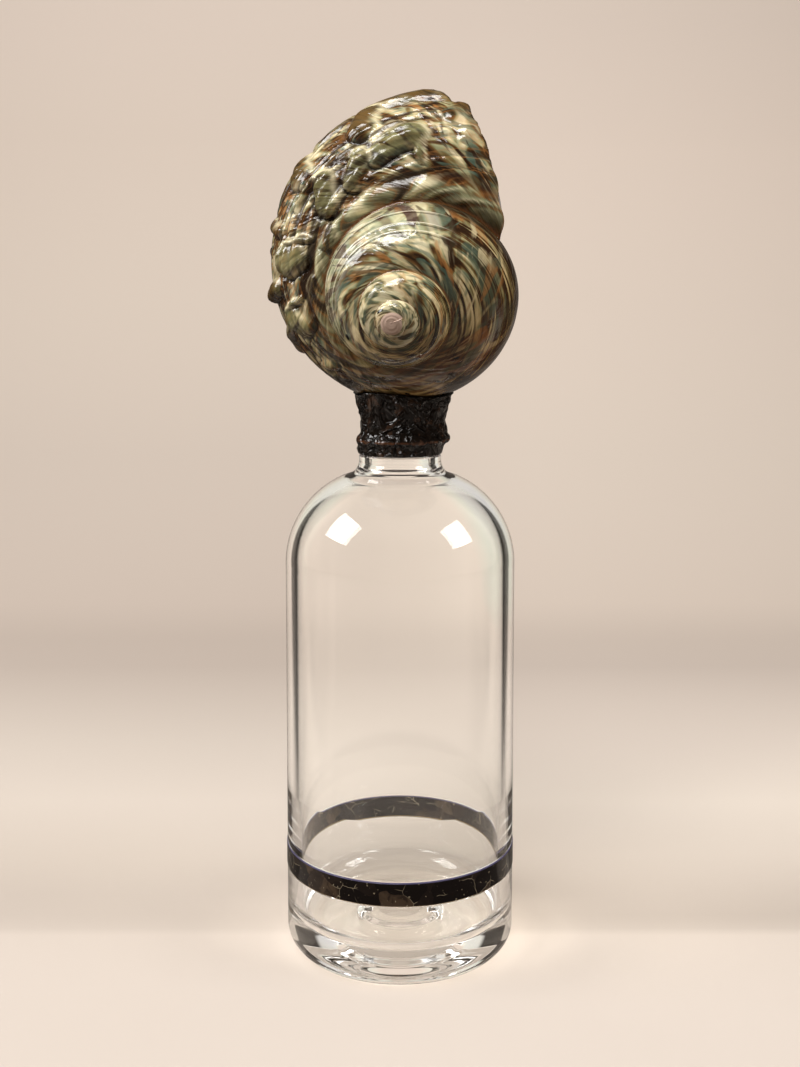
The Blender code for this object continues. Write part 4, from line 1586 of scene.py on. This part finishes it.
@dataclass
class Collar:
    """The cast collar that caps the neck and cups the shell, in millimetres."""

    finish: CastSkin
    foot: float = 16.1
    bead_z: float = 197.6
    bead: float = 17.9
    bead_round: float = 1.9
    waist: float = 16.4
    flare: float = 2.3
    lean: float = 1.3
    bore: float = 13.9
    ceiling_z: float = 205.4
    cup: tuple[float, ...] = (19.2, 18.7, 17.7, 15.0, 11.0, 7.0, 3.5)
    cup_z: float = 206.0
    brim_z: float = 214.6
    probe: float = 1.3
    gap: float = 0.4
    around: int = 300

    def side(self) -> Profile:
        """The section from the bore, round the foot, up to the start of the cup.

        Returns:
            Radius and height of each point.
        """
        low = heights("stopper_collar")[0]
        points = [
            (self.bore, self.ceiling_z), (self.bore, low), (self.foot - 0.5, low),
            (self.foot, low + 0.4), (self.foot + 0.1, low + 2.0), (self.foot + 0.25, low + 3.4),
            *arc((self.bead - self.bead_round, self.bead_z), self.bead_round, -60, 60, 10)]
        for height in np.linspace(200.2, 214.0, 24):
            points.append((self.waist + self.flare * float(ease((height - 203.0) / 13.0)),
                           float(height)))
        return points

    @staticmethod
    def ripple(graph: Graph, given: dict[str, Value]) -> Sequence[Value]:
        """Lumps and creases of the pulled skin.

        Args:
            graph: The geometry tree.
            given: Its inputs.

        Returns:
            The offset along the normal in metres, and the crest value.
        """
        place = graph.add("GeometryNodeInputPosition")
        moved = graph.combine("ADD", place, graph.vector(given["Seed"], 0.0, 0.0))
        broad = graph.noise(moved, given["Ripple Scale"], 3.0, 0.5, 1.1)
        height = (0.5 - broad) - broad.band(0.5, 0.06) * 0.22
        return [height * given["Ripple Height"] * graph.stored("free"), height]

    def seat(self, tree: BVHTree, x: float, y: float) -> float:
        """Height of the shell's underside above a place, less the gap.

        Args:
            tree: The shell's faces.
            x: The place, in millimetres.
            y: The place, in millimetres.

        Returns:
            The lowest of five heights round the place.
        """
        found = heights("stopper_collar")[1]
        for dx, dy in ((0, 0), (1, 0), (-1, 0), (0, 1), (0, -1)):
            start = Vector((x + dx * self.probe, y + dy * self.probe, 192.0)) * MM
            hit = tree.ray_cast(start, Vector((0.0, 0.0, 1.0)))[0]
            found = min(found, hit.z / MM - self.gap) if hit else found
        return found

    def build(self, shell: bpy.types.Object) -> bpy.types.Object:
        """Build and dress the collar.

        Args:
            shell: The finished shell that the cup follows.

        Returns:
            The finished piece.
        """
        tree = BVHTree.FromPolygons([v.co[:] for v in shell.data.vertices],
                                    [p.vertices[:] for p in shell.data.polygons])
        angles = circle(self.around)
        seats = [[self.seat(tree, radius * math.cos(a) + self.lean, radius * math.sin(a))
                  for a in angles] for radius in self.cup]
        verts, free, rub = [], [], []
        for row, (radius, height) in enumerate(self.side()):
            shown, above = row > 3, height > self.cup_z
            lean = self.lean * float(ease((height - 193.0) / 7.0)) * (row > 1)
            share = float(ease((height - self.cup_z) / 8.0))
            worn = math.exp(-((height - self.bead_z + 0.4) / 0.45) ** 2) * shown
            for a, brim in zip(angles, seats[0]):
                level = height + share * (brim - self.brim_z)
                verts.append((radius * math.cos(a) + lean, radius * math.sin(a),
                              min(level, brim - 0.2) if above else height))
                free.append(float(ease((brim - level) / 2.0)) * shown)
                rub.append(worn)
        for radius, levels in zip(self.cup, seats):
            verts += [(radius * math.cos(a) + self.lean, radius * math.sin(a), level)
                      for a, level in zip(angles, levels)]
        top, ceiling = len(verts), len(verts) + 1
        verts += [(self.lean, 0.0, self.seat(tree, self.lean, 0.0)), (0.0, 0.0, self.ceiling_z)]
        bare = [0.0] * (len(verts) - len(free))
        faces = []
        for k in range(self.around):
            after = (k + 1) % self.around
            for row in range(0, top - self.around, self.around):
                faces.append((row + k, row + after, row + self.around + after,
                              row + self.around + k))
            faces.append((top - self.around + k, top - self.around + after, top))
            faces.append((after, k, ceiling))
        obj = mesh_object("cast_collar", np.array(verts) * MM, faces, self.finish.make())
        store(obj, free=free + bare, rub=rub + bare)
        ripple = geometry_tree("Collar ripple", {
            "Ripple Height": 2.8 * MM, "Ripple Scale": 105.0, "Seed": 0.4}, self.ripple)
        apply_tree(obj, ripple, {"Seed": 0.4})
        return settle(obj, "stopper_collar")


# ---------------------------------------------------------------- the studio


@dataclass
class Studio:
    """The sweep, the lamps, the world and the camera."""

    paper: StudioPaper
    flat: float = 0.46
    bend: float = 0.42
    wall: float = 1.3
    half: float = 1.4
    level: float = -0.3 * MM
    camera_place: Place = (0.0, -0.4991, 0.24904)
    camera_tilt: float = 0.081
    focal: float = 44.1
    shift: tuple[float, float] = (0.0, -0.1158)
    lamp_colour: Place = (1.0, 0.985, 0.97)
    glow: Colour = srgb(222, 198, 172)
    glow_level: float = 0.12
    seen: Colour = srgb(206, 191, 176)
    passes: int = 24
    turns: int = 16

    def sweep(self) -> None:
        """The floor that curves up into the wall behind."""
        path = [(-0.9, self.level), (-0.4, self.level), (self.flat, self.level)]
        path += arc((self.flat, self.level + self.bend), self.bend, -90, 0, 24)[1:]
        path.append((self.flat + self.bend, self.wall))
        verts = [(x, y, z) for y, z in path for x in (-self.half, self.half)]
        faces = [(2 * k, 2 * k + 1, 2 * k + 3, 2 * k + 2) for k in range(len(path) - 1)]
        mesh_object("studio_sweep", verts, faces, self.paper.make())

    def lamp(self, name: str, place: Place, aim: Place, size: tuple[float, float], power: float,
             mirrored: bool = True, clear_of: bpy.types.Object | None = None,
             only: bpy.types.Object | None = None) -> None:
        """One rectangular soft box that looks at a point.

        Args:
            name: The lamp's name.
            place: Where it stands.
            aim: The point that it lights.
            size: Its width and height.
            power: Its power in watts.
            mirrored: Whether glossy surfaces show it.
            clear_of: A piece that it doesn't light.
            only: The one piece that it lights.
        """
        data = bpy.data.lights.new(name, "AREA")
        data.shape = "RECTANGLE"
        data.size, data.size_y = size
        data.energy = power
        data.color = self.lamp_colour
        obj = bpy.data.objects.new(name, data)
        obj.visible_glossy = obj.visible_transmission = mirrored
        obj.location = place
        obj.rotation_euler = (Vector(aim) - Vector(place)).to_track_quat("-Z", "Y").to_euler()
        bpy.context.scene.collection.objects.link(obj)
        if clear_of or only:
            lit = bpy.data.collections.new(name + "_lights")
            for other in bpy.context.scene.objects:
                if other.type == "MESH" and other != clear_of and only in (None, other):
                    lit.objects.link(other)
            obj.light_linking.receiver_collection = lit

    def lamps(self, glass: bpy.types.Object) -> None:
        """Two side boxes, a broad one overhead and a key that the glass doesn't show.

        Args:
            glass: The bottle, which has lamps of its own.
        """
        middle, right, box = (0.0, 0.0, 0.17), (0.80, -0.26, 0.72), (0.38, 0.42)
        self.lamp("left_box", (-0.80, -0.18, 0.80), middle, (0.46, 0.46), 7.5)
        self.lamp("right_box", right, middle, box, 5.0, only=glass)
        self.lamp("right_fill", right, middle, box, 5.0, False, clear_of=glass)
        self.lamp("overhead", (0.0, 0.0, 1.5), (0.0, 0.1, 0.0), (1.2, 0.9), 4.0, False)
        self.lamp("key", (-0.22, -0.48, 1.05), (0.0, -0.03, 0.26), (0.5, 0.4), 9.0, clear_of=glass)

    def world(self) -> None:
        """An even, dim surround that looks like the paper."""
        world = bpy.data.worlds.new("surround")
        bpy.context.scene.world = world
        world.use_nodes = True
        graph = Graph(world.node_tree)
        seen = graph.math("ADD", graph.ray("Camera"), graph.ray("Transmission"), clamp=True)
        dim = (*(self.glow_level * value for value in self.glow[:3]), 1.0)
        back = world.node_tree.nodes["Background"].inputs["Color"]
        graph.link(graph.mix(seen, dim, self.seen), back)

    def camera(self) -> None:
        """The camera, a little above the shell and tilted down."""
        data = bpy.data.cameras.new("camera")
        data.sensor_width = 36.0
        data.lens = self.focal
        data.shift_x, data.shift_y = self.shift
        data.clip_start, data.clip_end = 0.01, 20.0
        obj = bpy.data.objects.new("camera", data)
        obj.location = self.camera_place
        obj.rotation_euler = (math.pi / 2.0 - self.camera_tilt, 0.0, 0.0)
        bpy.context.scene.collection.objects.link(obj)
        bpy.context.scene.camera = obj

    def build(self, glass: bpy.types.Object) -> None:
        """Set the stage, and let light turn back many times inside the thick foot.

        Args:
            glass: The bottle.
        """
        self.sweep()
        self.lamps(glass)
        self.world()
        self.camera()
        scene = bpy.context.scene
        scene.view_settings.view_transform = "Standard"
        scene.cycles.max_bounces = scene.cycles.transmission_bounces = self.passes
        scene.cycles.glossy_bounces = self.turns


def main() -> None:
    """Build every piece and set the stage."""
    logging.basicConfig(level=logging.INFO, format="%(name)s %(message)s")
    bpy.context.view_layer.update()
    effects = Effects()
    glass = Bottle(ClearGlass("clear glass", effects)).build()
    InlayBand(PenShell("pen shell", effects)).build()
    CorkPlug(Cork("cork", effects)).build()
    lacquer, pearl = LacqueredShell("lacquered shell", effects), Nacre("nacre", effects)
    shell = TurbanShell(lacquer, pearl).build()
    Collar(CastSkin("cast skin", effects)).build(shell)
    Studio(StudioPaper("studio paper", effects)).build(glass)


if __name__ == "__main__":
    main()
